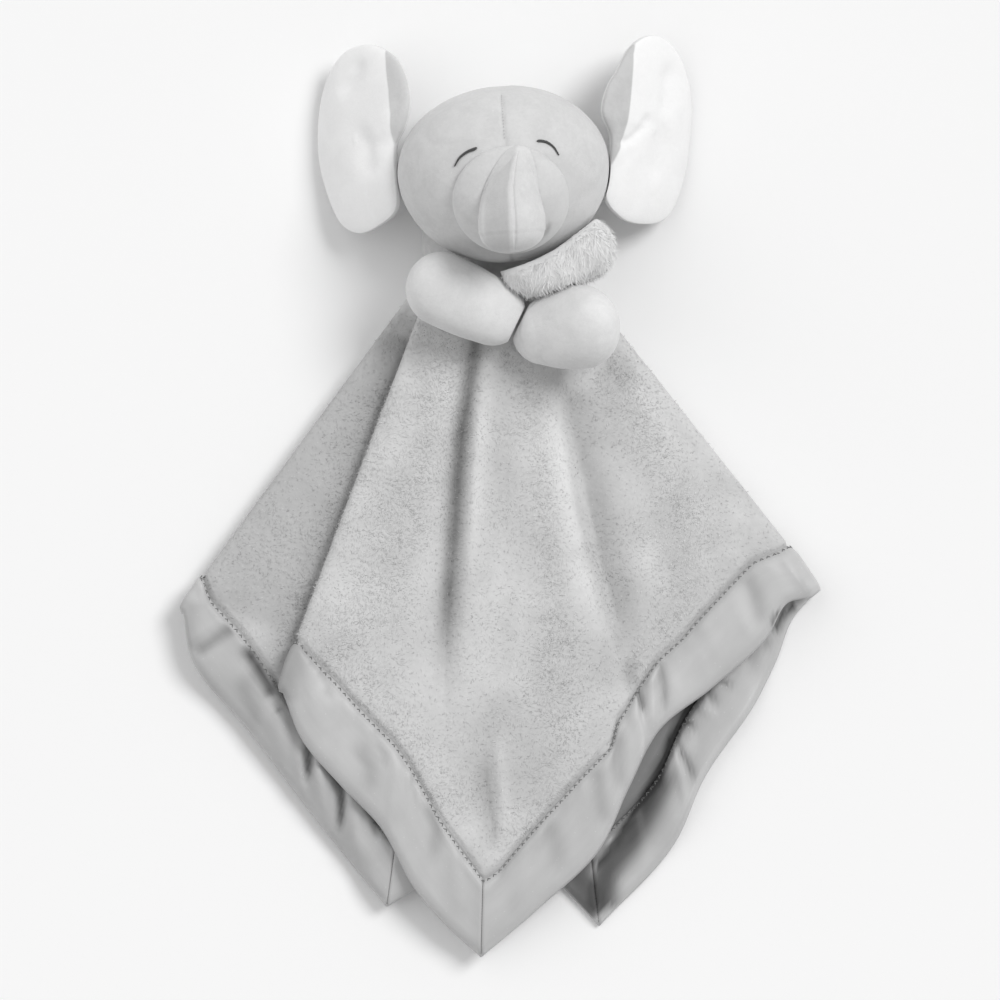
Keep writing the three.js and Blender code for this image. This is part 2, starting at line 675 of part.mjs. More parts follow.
function earOutline(shares, count) {
  const spots = shares.map(([across, along]) => new THREE.Vector3(across, along, 0));
  const curve = new THREE.CatmullRomCurve3(spots, true, 'centripetal');
  return curve.getPoints(count).slice(0, count);
}

function earForm(frame, shrink, around = EAR_SIDES, bands = EAR_BANDS) {
  const outline = earOutline(frame.shares, around);
  const place = (across, along, out) => frame.centre.clone()
    .addScaledVector(frame.inward, across)
    .addScaledVector(frame.upward, along)
    .addScaledVector(frame.front, out);
  const halfWidth = EAR_WIDTH / 2 - shrink;
  const halfHeight = EAR_HEIGHT / 2 - shrink;
  const rings = [];
  const thick = (share) => (EAR_THICKNESS - EAR_EDGE_THICKNESS) / 2 * (1 - share ** 2) ** 0.6;
  for (const face of [1, -1]) {
    const stack = [];
    for (let i = 1; i <= bands; i += 1) {
      const share = Math.sin((Math.PI / 2) * (i / bands));
      const out = thick(share) + EAR_EDGE_THICKNESS / 2 - shrink * (i === bands ? 0.3 : 1);
      stack.push(outline.map((p) => place(p.x * halfWidth * share, p.y * halfHeight * share, face * out)));
    }
    rings.push(...(face > 0 ? stack : stack.reverse()));
  }
  const crest = EAR_THICKNESS / 2 - shrink;
  return solidOf(ringForm(rings, place(0, 0, crest), place(0, 0, -crest)));
}

function earPieces(side, name) {
  const frame = earFrame(side);
  const rootSpot = frame.centre.clone().addScaledVector(frame.inward, frame.shares[0][0] * (EAR_WIDTH / 2));
  const sweeps = [-20, 0, 30].map((degrees) => (
    turnedAbout(headForm(RUNNING_GAP), rootSpot, frame.upward, side * degrees)
  ));
  const trim = (solid) => sweeps.reduce((left, cutter) => left.subtract(cutter), aboveTable(solid));
  const outer = trim(earForm(frame, 0));
  const inner = earForm(frame, VELOUR_THICKNESS).intersect(
    slabBox([-BLANKET_SIDE, -BLANKET_SIDE, VELOUR_THICKNESS], [BLANKET_SIDE, BLANKET_SIDE, BLANKET_SIDE]),
  );
  const shell = outer.subtract(inner);
  const halfSpace = (face) => {
    const reach = BLANKET_SIDE / 2;
    const block = slabBox([-reach, -reach, SEAM_GAP / 2], [reach, reach, reach]);
    const basis = new THREE.Matrix4().makeBasis(
      frame.upward.clone(),
      new THREE.Vector3().crossVectors(frame.front.clone().multiplyScalar(face), frame.upward),
      frame.front.clone().multiplyScalar(face),
    );
    basis.setPosition(frame.centre);
    return block.transform(basis.elements);
  };
  const inset = VELOUR_THICKNESS + FILLING_GAP;
  const wadding = earForm(frame, inset, EAR_SIDES, EAR_BANDS - 1).intersect(
    slabBox([-BLANKET_SIDE, -BLANKET_SIDE, inset], [BLANKET_SIDE, BLANKET_SIDE, BLANKET_SIDE]),
  );
  return [
    piece(`${name}_front`, shell.intersect(halfSpace(1)), 'white'),
    piece(`${name}_back`, shell.intersect(halfSpace(-1)), 'velour'),
    piece(`${name}_wadding`, wadding, 'filling'),
  ];
}

// Arms

// The shoulder is round about its axis, so it turns in place; the hand is flatter and rests lower
function armSpec(side) {
  const left = side < 0;
  const shoulder = left ? LEFT_SHOULDER : RIGHT_SHOULDER;
  const hand = left ? LEFT_HAND : RIGHT_HAND;
  const shoulderRadius = left ? LEFT_SHOULDER_RADIUS : RIGHT_SHOULDER_RADIUS;
  const handRadius = left ? LEFT_HAND_RADIUS : RIGHT_HAND_RADIUS;
  const at = (spot, lift) => new THREE.Vector3(NECK_CENTRE[0] + spot[0], NECK_CENTRE[1] + spot[1], lift);
  return {
    side,
    shoulder: at(shoulder, ARM_FLOOR + shoulderRadius),
    hand: at(hand, ARM_FLOOR + handRadius * HAND_FLATNESS_SHARE),
    shoulderRadius,
    handRadius,
  };
}

function armForm(spec, shrink, around = ARM_SIDES) {
  const along = spec.hand.clone().sub(spec.shoulder);
  const length = along.length();
  along.normalize();
  const across = new THREE.Vector3(-along.y, along.x, 0).normalize();
  const stations = [];
  for (const degrees of [-67, -45, -22, 0]) {
    stations.push([THREE.MathUtils.degToRad(degrees), 0]);
  }
  stations.push([0, 0.5]);
  for (const degrees of [0, 24, 47, 68]) {
    stations.push([THREE.MathUtils.degToRad(degrees), 1]);
  }
  const rings = stations.map(([angle, share]) => {
    const radius = THREE.MathUtils.lerp(spec.shoulderRadius, spec.handRadius, share) - shrink;
    const flatness = THREE.MathUtils.lerp(1, HAND_FLATNESS_SHARE, share);
    const centre = spec.shoulder.clone().addScaledVector(along, length * share + radius * Math.sin(angle));
    const ring = [];
    for (let k = 0; k < around; k += 1) {
      const turn = (2 * Math.PI * k) / around;
      const spot = centre.clone().addScaledVector(across, radius * Math.cos(angle) * Math.cos(turn));
      spot.z += radius * flatness * Math.cos(angle) * Math.sin(turn);
      ring.push(spot);
    }
    return ring;
  });
  const start = spec.shoulder.clone().addScaledVector(along, shrink - spec.shoulderRadius);
  const end = spec.hand.clone().addScaledVector(along, spec.handRadius - shrink);
  return solidOf(ringForm(rings, start, end));
}

// Round cutter about the shoulder's axis that keeps each hand on its own side
function handLimit(spec, shrink) {
  const place = (meet) => [NECK_CENTRE[0] + meet[0], NECK_CENTRE[1] + meet[1]];
  const top = place(HANDS_MEET_TOP);
  const bottom = place(HANDS_MEET_BOTTOM);
  const slope = (top[0] - bottom[0]) / (top[1] - bottom[1]);
  const radiusAt = (height) => {
    const meet = bottom[0] + (height - bottom[1]) * slope;
    return -spec.side * (meet - spec.shoulder.x) - HANDS_GAP / 2 - shrink;
  };
  const reach = spec.shoulderRadius * 1.9;
  const low = spec.shoulder.y - reach;
  const high = spec.shoulder.y + reach;
  const geometry = new THREE.CylinderGeometry(Math.max(radiusAt(high), 4), Math.max(radiusAt(low), 4), reach * 2, 48, 1);
  geometry.translate(spec.shoulder.x, spec.shoulder.y, spec.shoulder.z);
  return solidOf(geometry);
}

function armPieces(side, name) {
  const spec = armSpec(side);
  const envelope = headForm(RUNNING_GAP, HEAD_WIDTH, 24);
  const limited = (shrink, sides = ARM_SIDES) => armForm(spec, shrink, sides).intersect(handLimit(spec, shrink));
  const outer = limited(0).subtract(envelope);
  const shell = outer.subtract(limited(VELOUR_THICKNESS));
  const reach = BLANKET_SIDE;
  const seam = (spec.shoulder.z + spec.hand.z) / 2;
  const half = SEAM_GAP / 2;
  const top = shell.intersect(slabBox([-reach, -reach, seam + half], [reach, reach, reach]));
  const bottom = shell.intersect(slabBox([-reach, -reach, -reach], [reach, reach, seam - half]));
  return [
    piece(`${name}_top`, top, 'velour'),
    piece(`${name}_bottom`, bottom, 'velour'),
    piece(`${name}_stuffing`, limited(VELOUR_THICKNESS + FILLING_GAP, ARM_SIDES - 6), 'filling'),
  ];
}

// Neck and tuft

function neckCore() {
  const height = CLOTH_TOP - NECK_REST;
  const geometry = new THREE.CylinderGeometry(1, 1, NECK_LENGTH, 32, 1);
  geometry.scale(NECK_WIDTH / 2 - 1, 1, height / 2);
  geometry.translate(NECK_CENTRE[0], NECK_CENTRE[1] + NECK_END_GAP + NECK_LENGTH / 2, NECK_REST + height / 2);
  const form = solidOf(geometry).subtract(headForm(RUNNING_GAP, HEAD_WIDTH, 32));
  const front = slabBox([-BLANKET_SIDE, -BLANKET_SIDE, -1], [BLANKET_SIDE, HEAD_CENTRE[1], BLANKET_SIDE]);
  return piece('neck_core', form.intersect(front), 'velour');
}

function tuft() {
  const lobes = TUFT_LOBES.map(([right, up, width, height, depth]) => ellipsoidForm(
    [NECK_CENTRE[0] + right, NECK_CENTRE[1] + up, ARM_FLOOR + depth - 1],
    [width, height, depth],
    14,
    8,
  ));
  const joined = lobes.reduce((left, right) => left.add(right));
  const cutters = [headForm(TUFT_GAP, HEAD_WIDTH)];
  for (const degrees of [0, 9, 17, 25]) {
    cutters.push(turnedAbout(muzzleForm(TUFT_GAP, 0), headMiddle, headAxis, degrees));
  }
  for (const side of [-1, 1]) {
    const spec = armSpec(side);
    const arm = armForm(spec, -TUFT_GAP);
    for (const degrees of [0, 9, 18, 27, 36, 45, 54]) {
      cutters.push(turnedAbout(arm, spec.shoulder, new THREE.Vector3(0, 1, 0), side * degrees));
    }
  }
  const cut = cutters.reduce((left, cutter) => left.subtract(cutter), joined);
  const reach = BLANKET_SIDE;
  return piece('hugged_tuft', cut.subtract(slabBox([-reach, -reach, -reach], [reach, reach, ARM_FLOOR])), 'plush');
}

// Assembly

const lovey = new THREE.Group();
lovey.name = 'comfort_blanket_lovey';
lovey.add(plushSheet(), liningSheet(), ...bindingStrips());
lovey.add(neckCore(), tuft());
lovey.add(...headPieces());
lovey.add(piece('muzzle', muzzleForm(0, -VELOUR_THICKNESS).subtract(headForm(SEAM_GAP)), 'velour'));
lovey.add(threadAlong(LEFT_EYE_POINTS, 'eye_left'), threadAlong(RIGHT_EYE_POINTS, 'eye_right'));
lovey.add(...trunkPieces());
lovey.add(...earPieces(-1, 'ear_left'), ...earPieces(1, 'ear_right'));
lovey.add(...armPieces(-1, 'arm_left'), ...armPieces(1, 'arm_right'));

export default lovey;
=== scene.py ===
"""Looks of a comfort blanket lovey: a folded plush blanket bound in satin, below a stuffed elephant's head.

Sizes are in millimetres in the classes and become metres where a mesh is made.
"""

import logging
import math
from dataclasses import dataclass
from enum import Enum

import bpy
import numpy as np
from mathutils import Matrix, Vector
from mathutils.bvhtree import BVHTree
from numpy.typing import NDArray


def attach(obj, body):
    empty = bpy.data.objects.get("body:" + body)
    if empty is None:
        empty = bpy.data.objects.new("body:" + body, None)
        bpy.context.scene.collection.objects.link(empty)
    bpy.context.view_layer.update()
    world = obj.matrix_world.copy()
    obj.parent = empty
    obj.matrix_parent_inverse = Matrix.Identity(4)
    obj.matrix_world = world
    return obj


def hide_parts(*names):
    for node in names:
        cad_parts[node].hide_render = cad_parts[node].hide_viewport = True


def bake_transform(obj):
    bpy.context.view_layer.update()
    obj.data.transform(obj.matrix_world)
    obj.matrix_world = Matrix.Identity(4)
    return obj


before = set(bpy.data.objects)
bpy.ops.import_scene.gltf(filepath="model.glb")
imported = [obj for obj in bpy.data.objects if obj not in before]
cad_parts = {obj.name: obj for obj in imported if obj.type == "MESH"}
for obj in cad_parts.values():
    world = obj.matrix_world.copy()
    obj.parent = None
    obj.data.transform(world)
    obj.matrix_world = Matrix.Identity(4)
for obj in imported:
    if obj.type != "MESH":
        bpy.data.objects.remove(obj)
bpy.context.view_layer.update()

Points = NDArray[np.float64]
Faces = list[tuple[int, ...]]
Row = tuple[float, ...]
Marks = NDArray[np.bool_]
Piece = bpy.types.Object
Material = bpy.types.Material
Tree = bpy.types.NodeTree
Node = bpy.types.Node
Socket = bpy.types.NodeSocket
log = logging.getLogger("lovey")
MM = 0.001
PIXEL = 0.45
PICTURE_MIDDLE = (502, 499.5)
SOCKET_KINDS = {float: "Float", int: "Int", tuple: "Vector"}

# Greys and shares that the finishes have in common
# Grey that painted shade darkens a colour towards
PAINTED_SHADE_GREY = 38
LINT_GREY = 244
LINT_SHARE = 0.25
# Weight and range of the carried value: the nap's random tone with painted shade and painted light
RUBBED_SHARE = 0.35
NAP_AND_PAINTED_LIGHT_SHARE = 0.42
NAP_AND_PAINTED_LIGHT_TONES = (-0.5, 0.75)


# Plain helpers


def unit(vectors: Points) -> Points:
    """Scales vectors to length 1 along their last axis."""
    return vectors / np.maximum(np.linalg.norm(vectors, axis=-1, keepdims=True), 1e-12)


def ease(share: Points | float) -> Points | float:
    """Smooth step from 0 to 1, flat at both ends."""
    held = np.clip(share, 0.0, 1.0)
    return held * held * (3 - 2 * held)


def from_photo(points: tuple[Row, ...]) -> Points:
    """Turns places measured on the picture, in its pixels, into millimetres in the part's plan."""
    spots = np.array(points, float)
    across, down = PICTURE_MIDDLE
    return np.column_stack([(spots[:, 0] - across) * PIXEL, (down - spots[:, 1]) * PIXEL])


def walked(line: Points) -> Points:
    """Distance along a line of points, from its first."""
    return np.concatenate([[0.0], np.cumsum(np.linalg.norm(np.diff(line, axis=0), axis=1))])


def ring_angles(count: int) -> Points:
    """Angles of the points of a ring."""
    return 2 * np.pi * np.arange(count) / count


def about_z(angle: float) -> Points:
    """Turn about the upright axis, for an angle in radians."""
    along, across = math.cos(angle), math.sin(angle)
    return np.array([[along, -across, 0], [across, along, 0], [0, 0, 1]])


def lattice_noise(points: Points, size: float, seed: int) -> Points:
    """Smooth random values from -1 to 1.

    Args:
        points: places, three numbers each.
        size: distance over which the value changes.
        seed: picks the pattern.

    Returns:
        One value for each place.
    """
    spot = points / size
    cell = np.floor(spot).astype(np.int64)
    part = ease(spot - cell)
    total = np.zeros(len(points))
    for corner in range(8):
        step = np.array([corner & 1, corner >> 1 & 1, corner >> 2 & 1])
        here = cell + step
        mixed = here[:, 0] * 73856093 ^ here[:, 1] * 19349663 ^ here[:, 2] * 83492791 ^ seed * 265443576
        mixed = (mixed ^ mixed >> 13) * 1274126177 & 0x7FFFFFFF
        weight = np.prod(np.where(step, part, 1 - part), axis=1)
        total += (mixed / 0x3FFFFFFF - 1.0) * weight
    return total


def through(at: Points, stations: Points, values: Points, monotone: bool) -> Points:
    """Smooth curve through values at rising stations.

    Args:
        at: where the curve is read.
        stations: where the values are given.
        values: one row for each station.
        monotone: True where the curve mustn't swing past its values.

    Returns:
        One row for each place in at.
    """
    step = np.diff(stations)[:, None]
    secant = np.diff(values, axis=0) / step
    inner = (secant[:-1] * step[1:] + secant[1:] * step[:-1]) / (step[1:] + step[:-1])
    if monotone:
        product = secant[:-1] * secant[1:]
        total = np.where(product > 0, secant[:-1] + secant[1:], 1.0)
        inner = np.where(product > 0, 2 * product / total, 0.0)
    slope = np.vstack([secant[:1], inner, secant[-1:]])
    k = np.clip(np.searchsorted(stations, at, side="right") - 1, 0, len(stations) - 2)
    width = (stations[k + 1] - stations[k])[:, None]
    t = ((at - stations[k]) / width[:, 0])[:, None]
    start = (1 + 2 * t) * (1 - t) ** 2 * values[k] + t * (1 - t) ** 2 * width * slope[k]
    return start + t * t * (3 - 2 * t) * values[k + 1] - t * t * (1 - t) * width * slope[k + 1]


def distance_to_line(plan: Points, line: Points) -> tuple[Points, Points, Points]:
    """Nearest place on a drawn line.

    Args:
        plan: places in plan, two numbers each.
        line: the line's points in plan.

    Returns:
        The distance, the side (for a line drawn downwards, 1 to its right as seen and -1 to its left) and the
        share of its length.
    """
    best = np.full(len(plan), 1e9)
    side = np.ones(len(plan))
    share = np.zeros(len(plan))
    lengths = np.linalg.norm(np.diff(line, axis=0), axis=1)
    done = 0.0
    for start, end, length in zip(line[:-1], line[1:], lengths):
        along = (end - start) / length
        t = np.clip((plan - start) @ along, 0, length)
        away = plan - start - t[:, None] * along
        far = np.linalg.norm(away, axis=1)
        nearer = far < best
        best = np.where(nearer, far, best)
        side = np.where(nearer, np.sign(away @ np.array([-along[1], along[0]]) + 1e-12), side)
        share = np.where(nearer, (done + t) / lengths.sum(), share)
        done += length
    return best, side, share


@dataclass(frozen=True)
class Crease:
    """Soft valley, or a ridge where its depth is negative, along a line drawn downwards in plan."""

    line: tuple[Row, ...]
    depth: float
    left: float
    right: float
    fade_in: float = 0.15
    fade_out: float = 0.2
    sharp: float = 2.0

    def sink(self, plan: Points) -> Points:
        """How far each place in plan sinks, in millimetres."""
        far, side, share = distance_to_line(plan, from_photo(self.line))
        width = np.where(side > 0, self.right, self.left)
        fade = ease(share / self.fade_in) * ease((1 - share) / self.fade_out)
        return self.depth * np.exp(-((far / width) ** self.sharp)) * fade


# Making meshes


def mesh_object(
    name: str,
    points: Points,
    faces: Faces,
    finish: Material,
    uv: Points | None = None,
    values: dict[str, Points] | None = None,
) -> Piece:
    """Makes a smooth mesh object at the origin.

    Args:
        name: the piece's name.
        points: its points in millimetres.
        faces: point numbers of each face.
        finish: its material.
        uv: one pair for each point, in metres on the cloth.
        values: named numbers or vectors kept on the points.

    Returns:
        The object, linked to the scene.
    """
    mesh = bpy.data.meshes.new(name)
    mesh.from_pydata((np.asarray(points) * MM).tolist(), [], faces)
    mesh.polygons.foreach_set("use_smooth", [True] * len(mesh.polygons))
    if uv is not None:
        corners = np.empty(len(mesh.loops), np.int32)
        mesh.loops.foreach_get("vertex_index", corners)
        layer = mesh.uv_layers.new(name="cloth")
        layer.data.foreach_set("uv", np.asarray(uv, np.float32)[corners].ravel())
    for key, rows in (values or {}).items():
        kind, field = ("FLOAT", "value") if np.ndim(rows) == 1 else ("FLOAT_VECTOR", "vector")
        attribute = mesh.attributes.new(key, kind, "POINT")
        attribute.data.foreach_set(field, np.asarray(rows, np.float32).ravel())
    mesh.materials.append(finish)
    mesh.update()
    made = bpy.data.objects.new(name, mesh)
    bpy.context.scene.collection.objects.link(made)
    return made


def ring_solid(rings: list[Points], start: Points, end: Points) -> tuple[Points, Faces]:
    """Closes rings of points into a solid with a pole at each end.

    Args:
        rings: equal rings from the first pole to the last.
        start: the first pole.
        end: the last pole.

    Returns:
        Points and faces that face outwards.
    """
    count = len(rings[0])
    points = np.vstack([start, *rings, end])
    last = len(points) - 1
    base = last - count
    faces: Faces = []
    for k in range(count):
        after = (k + 1) % count
        faces.append((0, 1 + after, 1 + k))
        faces.append((last, base + k, base + after))
        for low in range(1, base, count):
            faces.append((low + k, low + after, low + count + after, low + count + k))
    return points, facing_out(points, faces)


def facing_out(points: Points, faces: Faces) -> Faces:
    """Turns the faces of a closed form round where they face inwards."""
    total = 0.0
    for face in faces:
        for k in range(1, len(face) - 1):
            total += float(np.dot(points[face[0]], np.cross(points[face[k]], points[face[k + 1]])))
    return faces if total > 0 else [tuple(reversed(face)) for face in faces]


def plain_mesh(made: Piece, name: str) -> Piece:
    """Turns an object with modifiers into a plain mesh object and removes the first one.

    Args:
        made: the object with its modifiers.
        name: name of the plain piece.

    Returns:
        The plain piece.
    """
    graph = bpy.context.evaluated_depsgraph_get()
    final = made.evaluated_get(graph)
    mesh = bpy.data.meshes.new_from_object(final, preserve_all_data_layers=True, depsgraph=graph)
    old = made.data
    bpy.data.objects.remove(made)
    if old.users == 0:
        bpy.data.meshes.remove(old)
    mesh.name = name
    plain = bpy.data.objects.new(name, mesh)
    bpy.context.scene.collection.objects.link(plain)
    return plain


class NodeBench:
    """Adds nodes to one tree and joins them."""

    def __init__(self, tree: Tree) -> None:
        """Keeps the tree that is worked on."""
        self.tree = tree

    def add(self, kind: str, inputs: dict | None = None, **settings: object) -> Node:
        """Adds one node.

        Args:
            kind: the node's type name.
            inputs: values or sockets for its inputs, by name or number.
            settings: values of its own options.

        Returns:
            The node.
        """
        node = self.tree.nodes.new(kind)
        for key, value in settings.items():
            setattr(node, key, value)
        for key, value in (inputs or {}).items():
            if isinstance(value, Socket):
                self.join(value, node.inputs[key])
            else:
                node.inputs[key].default_value = value
        return node

    def join(self, start: Socket, end: Socket) -> None:
        """Joins an output to an input."""
        self.tree.links.new(start, end)

    def math(self, operation: str, first: object, second: object = 0.0) -> Socket:
        """Adds a Math node and returns its result."""
        return self.add("ShaderNodeMath", {0: first, 1: second}, operation=operation).outputs[0]

    def times(self, first: object, second: object) -> Socket:
        """Product of two values."""
        return self.math("MULTIPLY", first, second)

    def plus(self, first: object, second: object) -> Socket:
        """Sum of two values."""
        return self.math("ADD", first, second)

    def vector(self, operation: str, first: object, second: object) -> Socket:
        """Adds a Vector Math node and returns its result."""
        return self.add("ShaderNodeVectorMath", {0: first, 1: second}, operation=operation).outputs[0]

    def noise(self, place: object, scale: object, detail: float, **more: float) -> Node:
        """Adds a noise texture that is read at a place, with more of its inputs by name."""
        return self.add("ShaderNodeTexNoise", {"Vector": place, "Scale": scale, "Detail": detail, **more})

    def ranged(self, value: object, low: float, high: float, start: float = 0.0, end: float = 1.0) -> Socket:
        """Runs from start to end, and no further, while a value runs from low to high."""
        return self.add("ShaderNodeMapRange", {0: value, 1: low, 2: high, 3: start, 4: end}).outputs[0]

    def mixed(self, share: object, first: object, second: object) -> Socket:
        """Colour between two others, the first one where the share is 0."""
        return self.add("ShaderNodeMix", {0: share, 6: first, 7: second}, data_type="RGBA").outputs[2]


class GroupBench(NodeBench):
    """Bench on a new node group with named inputs and outputs."""

    def __init__(self, name: str, kind: str, inputs: dict[str, object], outputs: dict[str, str]) -> None:
        """Starts the group.

        Args:
            name: the group's name.
            kind: ShaderNodeTree or GeometryNodeTree.
            inputs: starting value by name, or the socket's kind where it has none.
            outputs: the socket's kind by name.
        """
        tree = bpy.data.node_groups.new(name, kind)
        for key, start in inputs.items():
            sort = start if isinstance(start, str) else SOCKET_KINDS[type(start)]
            made = tree.interface.new_socket(key, in_out="INPUT", socket_type="NodeSocket" + sort)
            if start is not sort:
                made.default_value = start
        for key, sort in outputs.items():
            tree.interface.new_socket(key, in_out="OUTPUT", socket_type="NodeSocket" + sort)
        super().__init__(tree)
        self.given = self.add("NodeGroupInput").outputs

    def named(self, name: str, kind: str = "FLOAT") -> Socket:
        """Value that the mesh carries under a name."""
        return self.add("GeometryNodeInputNamedAttribute", {"Name": name}, data_type=kind).outputs[0]

    def done(self, results: dict[str, Socket]) -> Tree:
        """Joins the results to the group's outputs and gives its tree."""
        self.add("NodeGroupOutput", results)
        return self.tree

    def dressed(self, geometry: Socket) -> Tree:
        """Gives geometry the group's own finish, as the group's result."""
        finished = {"Geometry": geometry, "Material": self.given["Finish"]}
        return self.done({"Geometry": self.add("GeometryNodeSetMaterial", finished).outputs[0]})


def grown(carrier: Piece, tree: Tree, values: dict[str, object], name: str) -> Piece:
    """Runs a geometry tree on a carrier object and keeps the result as a plain piece.

    Args:
        carrier: object that the tree reads; it is used up.
        tree: the geometry tree.
        values: the tree's named inputs.
        name: name of the piece.

    Returns:
        The plain piece.
    """
    modifier = carrier.modifiers.new("grown", "NODES")
    modifier.node_group = tree
    for item in tree.interface.items_tree:
        if item.item_type == "SOCKET" and item.in_out == "INPUT" and item.name in values:
            modifier[item.identifier] = values[item.name]
    return plain_mesh(carrier, name)


# Shader groups shared by the finishes


def nap_group() -> Tree:
    """Short nap of cut fibres: a tone that drifts in soft patches, and a fine height."""
    inputs = {"Position": "Vector", "Fibre Size": 0.0004, "Patch Size": 0.012, "Fibre Share": 0.4}
    bench = GroupBench("short_nap", "ShaderNodeTree", inputs, {"Tone": "Float", "Height": "Float"})
    place = bench.given["Position"]
    fine_scale = bench.math("DIVIDE", 1.0, bench.given["Fibre Size"])
    patch_scale = bench.math("DIVIDE", 1.0, bench.given["Patch Size"])
    fine = bench.noise(place, fine_scale, 2.0, Roughness=0.65)
    middle = bench.noise(place, bench.times(fine_scale, 0.22), 3.0, Distortion=0.6)
    patch = bench.noise(place, patch_scale, 2.0, Distortion=0.8)
    shares = {0: bench.given["Fibre Share"], 2: patch.outputs[0], 3: middle.outputs[0]}
    tone = bench.add("ShaderNodeMix", shares, data_type="FLOAT").outputs[0]
    height = bench.plus(bench.times(fine.outputs[0], 0.55), bench.times(middle.outputs[0], 0.45))
    return bench.done({"Tone": tone, "Height": height})


def clump_group() -> Tree:
    """Fleece whose fibres gather in small curled clumps."""
    inputs = {"Position": "Vector", "Clump Size": 0.0022, "Swirl Size": 0.014}
    bench = GroupBench("fleece_clumps", "ShaderNodeTree", inputs, {"Tone": "Float", "Height": "Float"})
    place = bench.given["Position"]
    clump_scale = bench.math("DIVIDE", 1.0, bench.given["Clump Size"])
    swirl_scale = bench.math("DIVIDE", 1.0, bench.given["Swirl Size"])
    swirl = bench.noise(place, swirl_scale, 2.0)
    moved = bench.vector("ADD", place, bench.vector("MULTIPLY", swirl.outputs[1], (0.006, 0.006, 0.006)))
    curled = {"Vector": moved, "Scale": clump_scale, "Randomness": 1.0}
    cells = bench.add("ShaderNodeTexVoronoi", curled, feature="SMOOTH_F1")
    strands = bench.noise(moved, clump_scale, 4.0, Distortion=1.6)
    patch = bench.noise(place, bench.times(swirl_scale, 0.8), 3.0, Roughness=0.6)
    crests = bench.math("SUBTRACT", 1.0, cells.outputs[0])
    height = bench.plus(bench.times(crests, 0.5), bench.times(strands.outputs[0], 0.5))
    tone = bench.plus(bench.times(height, 0.45), bench.times(patch.outputs[0], 0.55))
    return bench.done({"Tone": tone, "Height": height})


def weave_group() -> Tree:
    """Fine slanting weave on the cloth's own UV map, with threads that vary along their length."""
    inputs = {"Cloth": "Vector", "Thread Pitch": 0.0003, "Slub Size": 0.01}
    bench = GroupBench("slanting_weave", "ShaderNodeTree", inputs, {"Tone": "Float", "Height": "Float"})
    parts = bench.add("ShaderNodeSeparateXYZ", {0: bench.given["Cloth"]})
    turns = bench.math("DIVIDE", 2 * math.pi, bench.given["Thread Pitch"])
    slant = bench.plus(parts.outputs[0], bench.times(parts.outputs[1], 0.5))
    warp = bench.math("SINE", bench.times(slant, turns))
    weft = bench.math("SINE", bench.times(parts.outputs[1], turns))
    height = bench.plus(bench.times(warp, 0.3), bench.times(weft, 0.2))
    stretched = bench.vector("MULTIPLY", bench.given["Cloth"], (0.25, 1.0, 1.0))
    slub = bench.noise(stretched, bench.math("DIVIDE", 1.0, bench.given["Slub Size"]), 4.0, Roughness=0.6)
    return bench.done({"Tone": slub.outputs[0], "Height": bench.plus(height, 0.5)})


def handling_group() -> Tree:
    """Marks of handling: soft rubbed patches and a few flecks of lint."""
    inputs = {"Position": "Vector", "Patch Size": 0.03}
    bench = GroupBench("handling_marks", "ShaderNodeTree", inputs, {"Rubbed": "Float", "Lint": "Float"})
    place = bench.given["Position"]
    patch = bench.noise(place, bench.math("DIVIDE", 1.0, bench.given["Patch Size"]), 4.0, Distortion=1.0)
    steps = {0: patch.outputs[0], 1: 0.45, 2: 0.7, 3: 0.0, 4: 1.0}
    rubbed = bench.add("ShaderNodeMapRange", steps, interpolation_type="SMOOTHSTEP")
    flecks = bench.add("ShaderNodeTexVoronoi", {"Vector": place, "Scale": 260.0})
    return bench.done({"Rubbed": rubbed.outputs[0], "Lint": bench.ranged(flecks.outputs[0], 0.10, 0.04)})


NAP = nap_group()
CLUMPS = clump_group()
WEAVE = weave_group()
HANDLING = handling_group()


def grey(level: float) -> tuple[float, float, float, float]:
    """Linear colour of a neutral grey given on the usual 0 to 255 display scale."""
    share = level / 255
    linear = share / 12.92 if share <= 0.04045 else ((share + 0.055) / 1.055) ** 2.4
    return (linear, linear, linear, 1.0)


class Read(Enum):
    """Where a pattern takes its place from."""

    OBJECT = "Object"
    CLOTH = "UV"


class MaterialBench(NodeBench):
    """Bench on a new material with its shader."""

    def __init__(self, name: str, inputs: dict[str, float]) -> None:
        """Starts the material, with constant values for the shader's inputs."""
        self.material = bpy.data.materials.new(name)
        self.material.use_nodes = True
        self.material.node_tree.nodes.clear()
        super().__init__(self.material.node_tree)
        self.shader = self.add("ShaderNodeBsdfPrincipled", inputs)
        self.add("ShaderNodeOutputMaterial", {"Surface": self.shader.outputs[0]})
        self.coordinates = self.add("ShaderNodeTexCoord")

    def place(self, read: Read) -> Socket:
        """Place that a pattern is read at."""
        return self.coordinates.outputs[read.value]

    def group(self, tree: Tree, inputs: dict[str, object]) -> bpy.types.NodeOutputs:
        """Adds a shared group and gives its outputs."""
        return self.add("ShaderNodeGroup", inputs, node_tree=tree).outputs

    def carried(self, name: str) -> Socket:
        """Value that the piece carries under a name."""
        return self.add("ShaderNodeAttribute", attribute_name=name).outputs["Fac"]

    def coloured(self, colour: Socket) -> Material:
        """Feeds a colour to the shader and gives the material."""
        self.join(colour, self.shader.inputs["Base Color"])
        return self.material

    def bumped(self, height: Socket, distance: float, strength: float) -> None:
        """Feeds a height to the shader's normal, with its distance in metres."""
        bump = self.add("ShaderNodeBump", {"Height": height, "Distance": distance, "Strength": strength})
        self.join(bump.outputs[0], self.shader.inputs["Normal"])


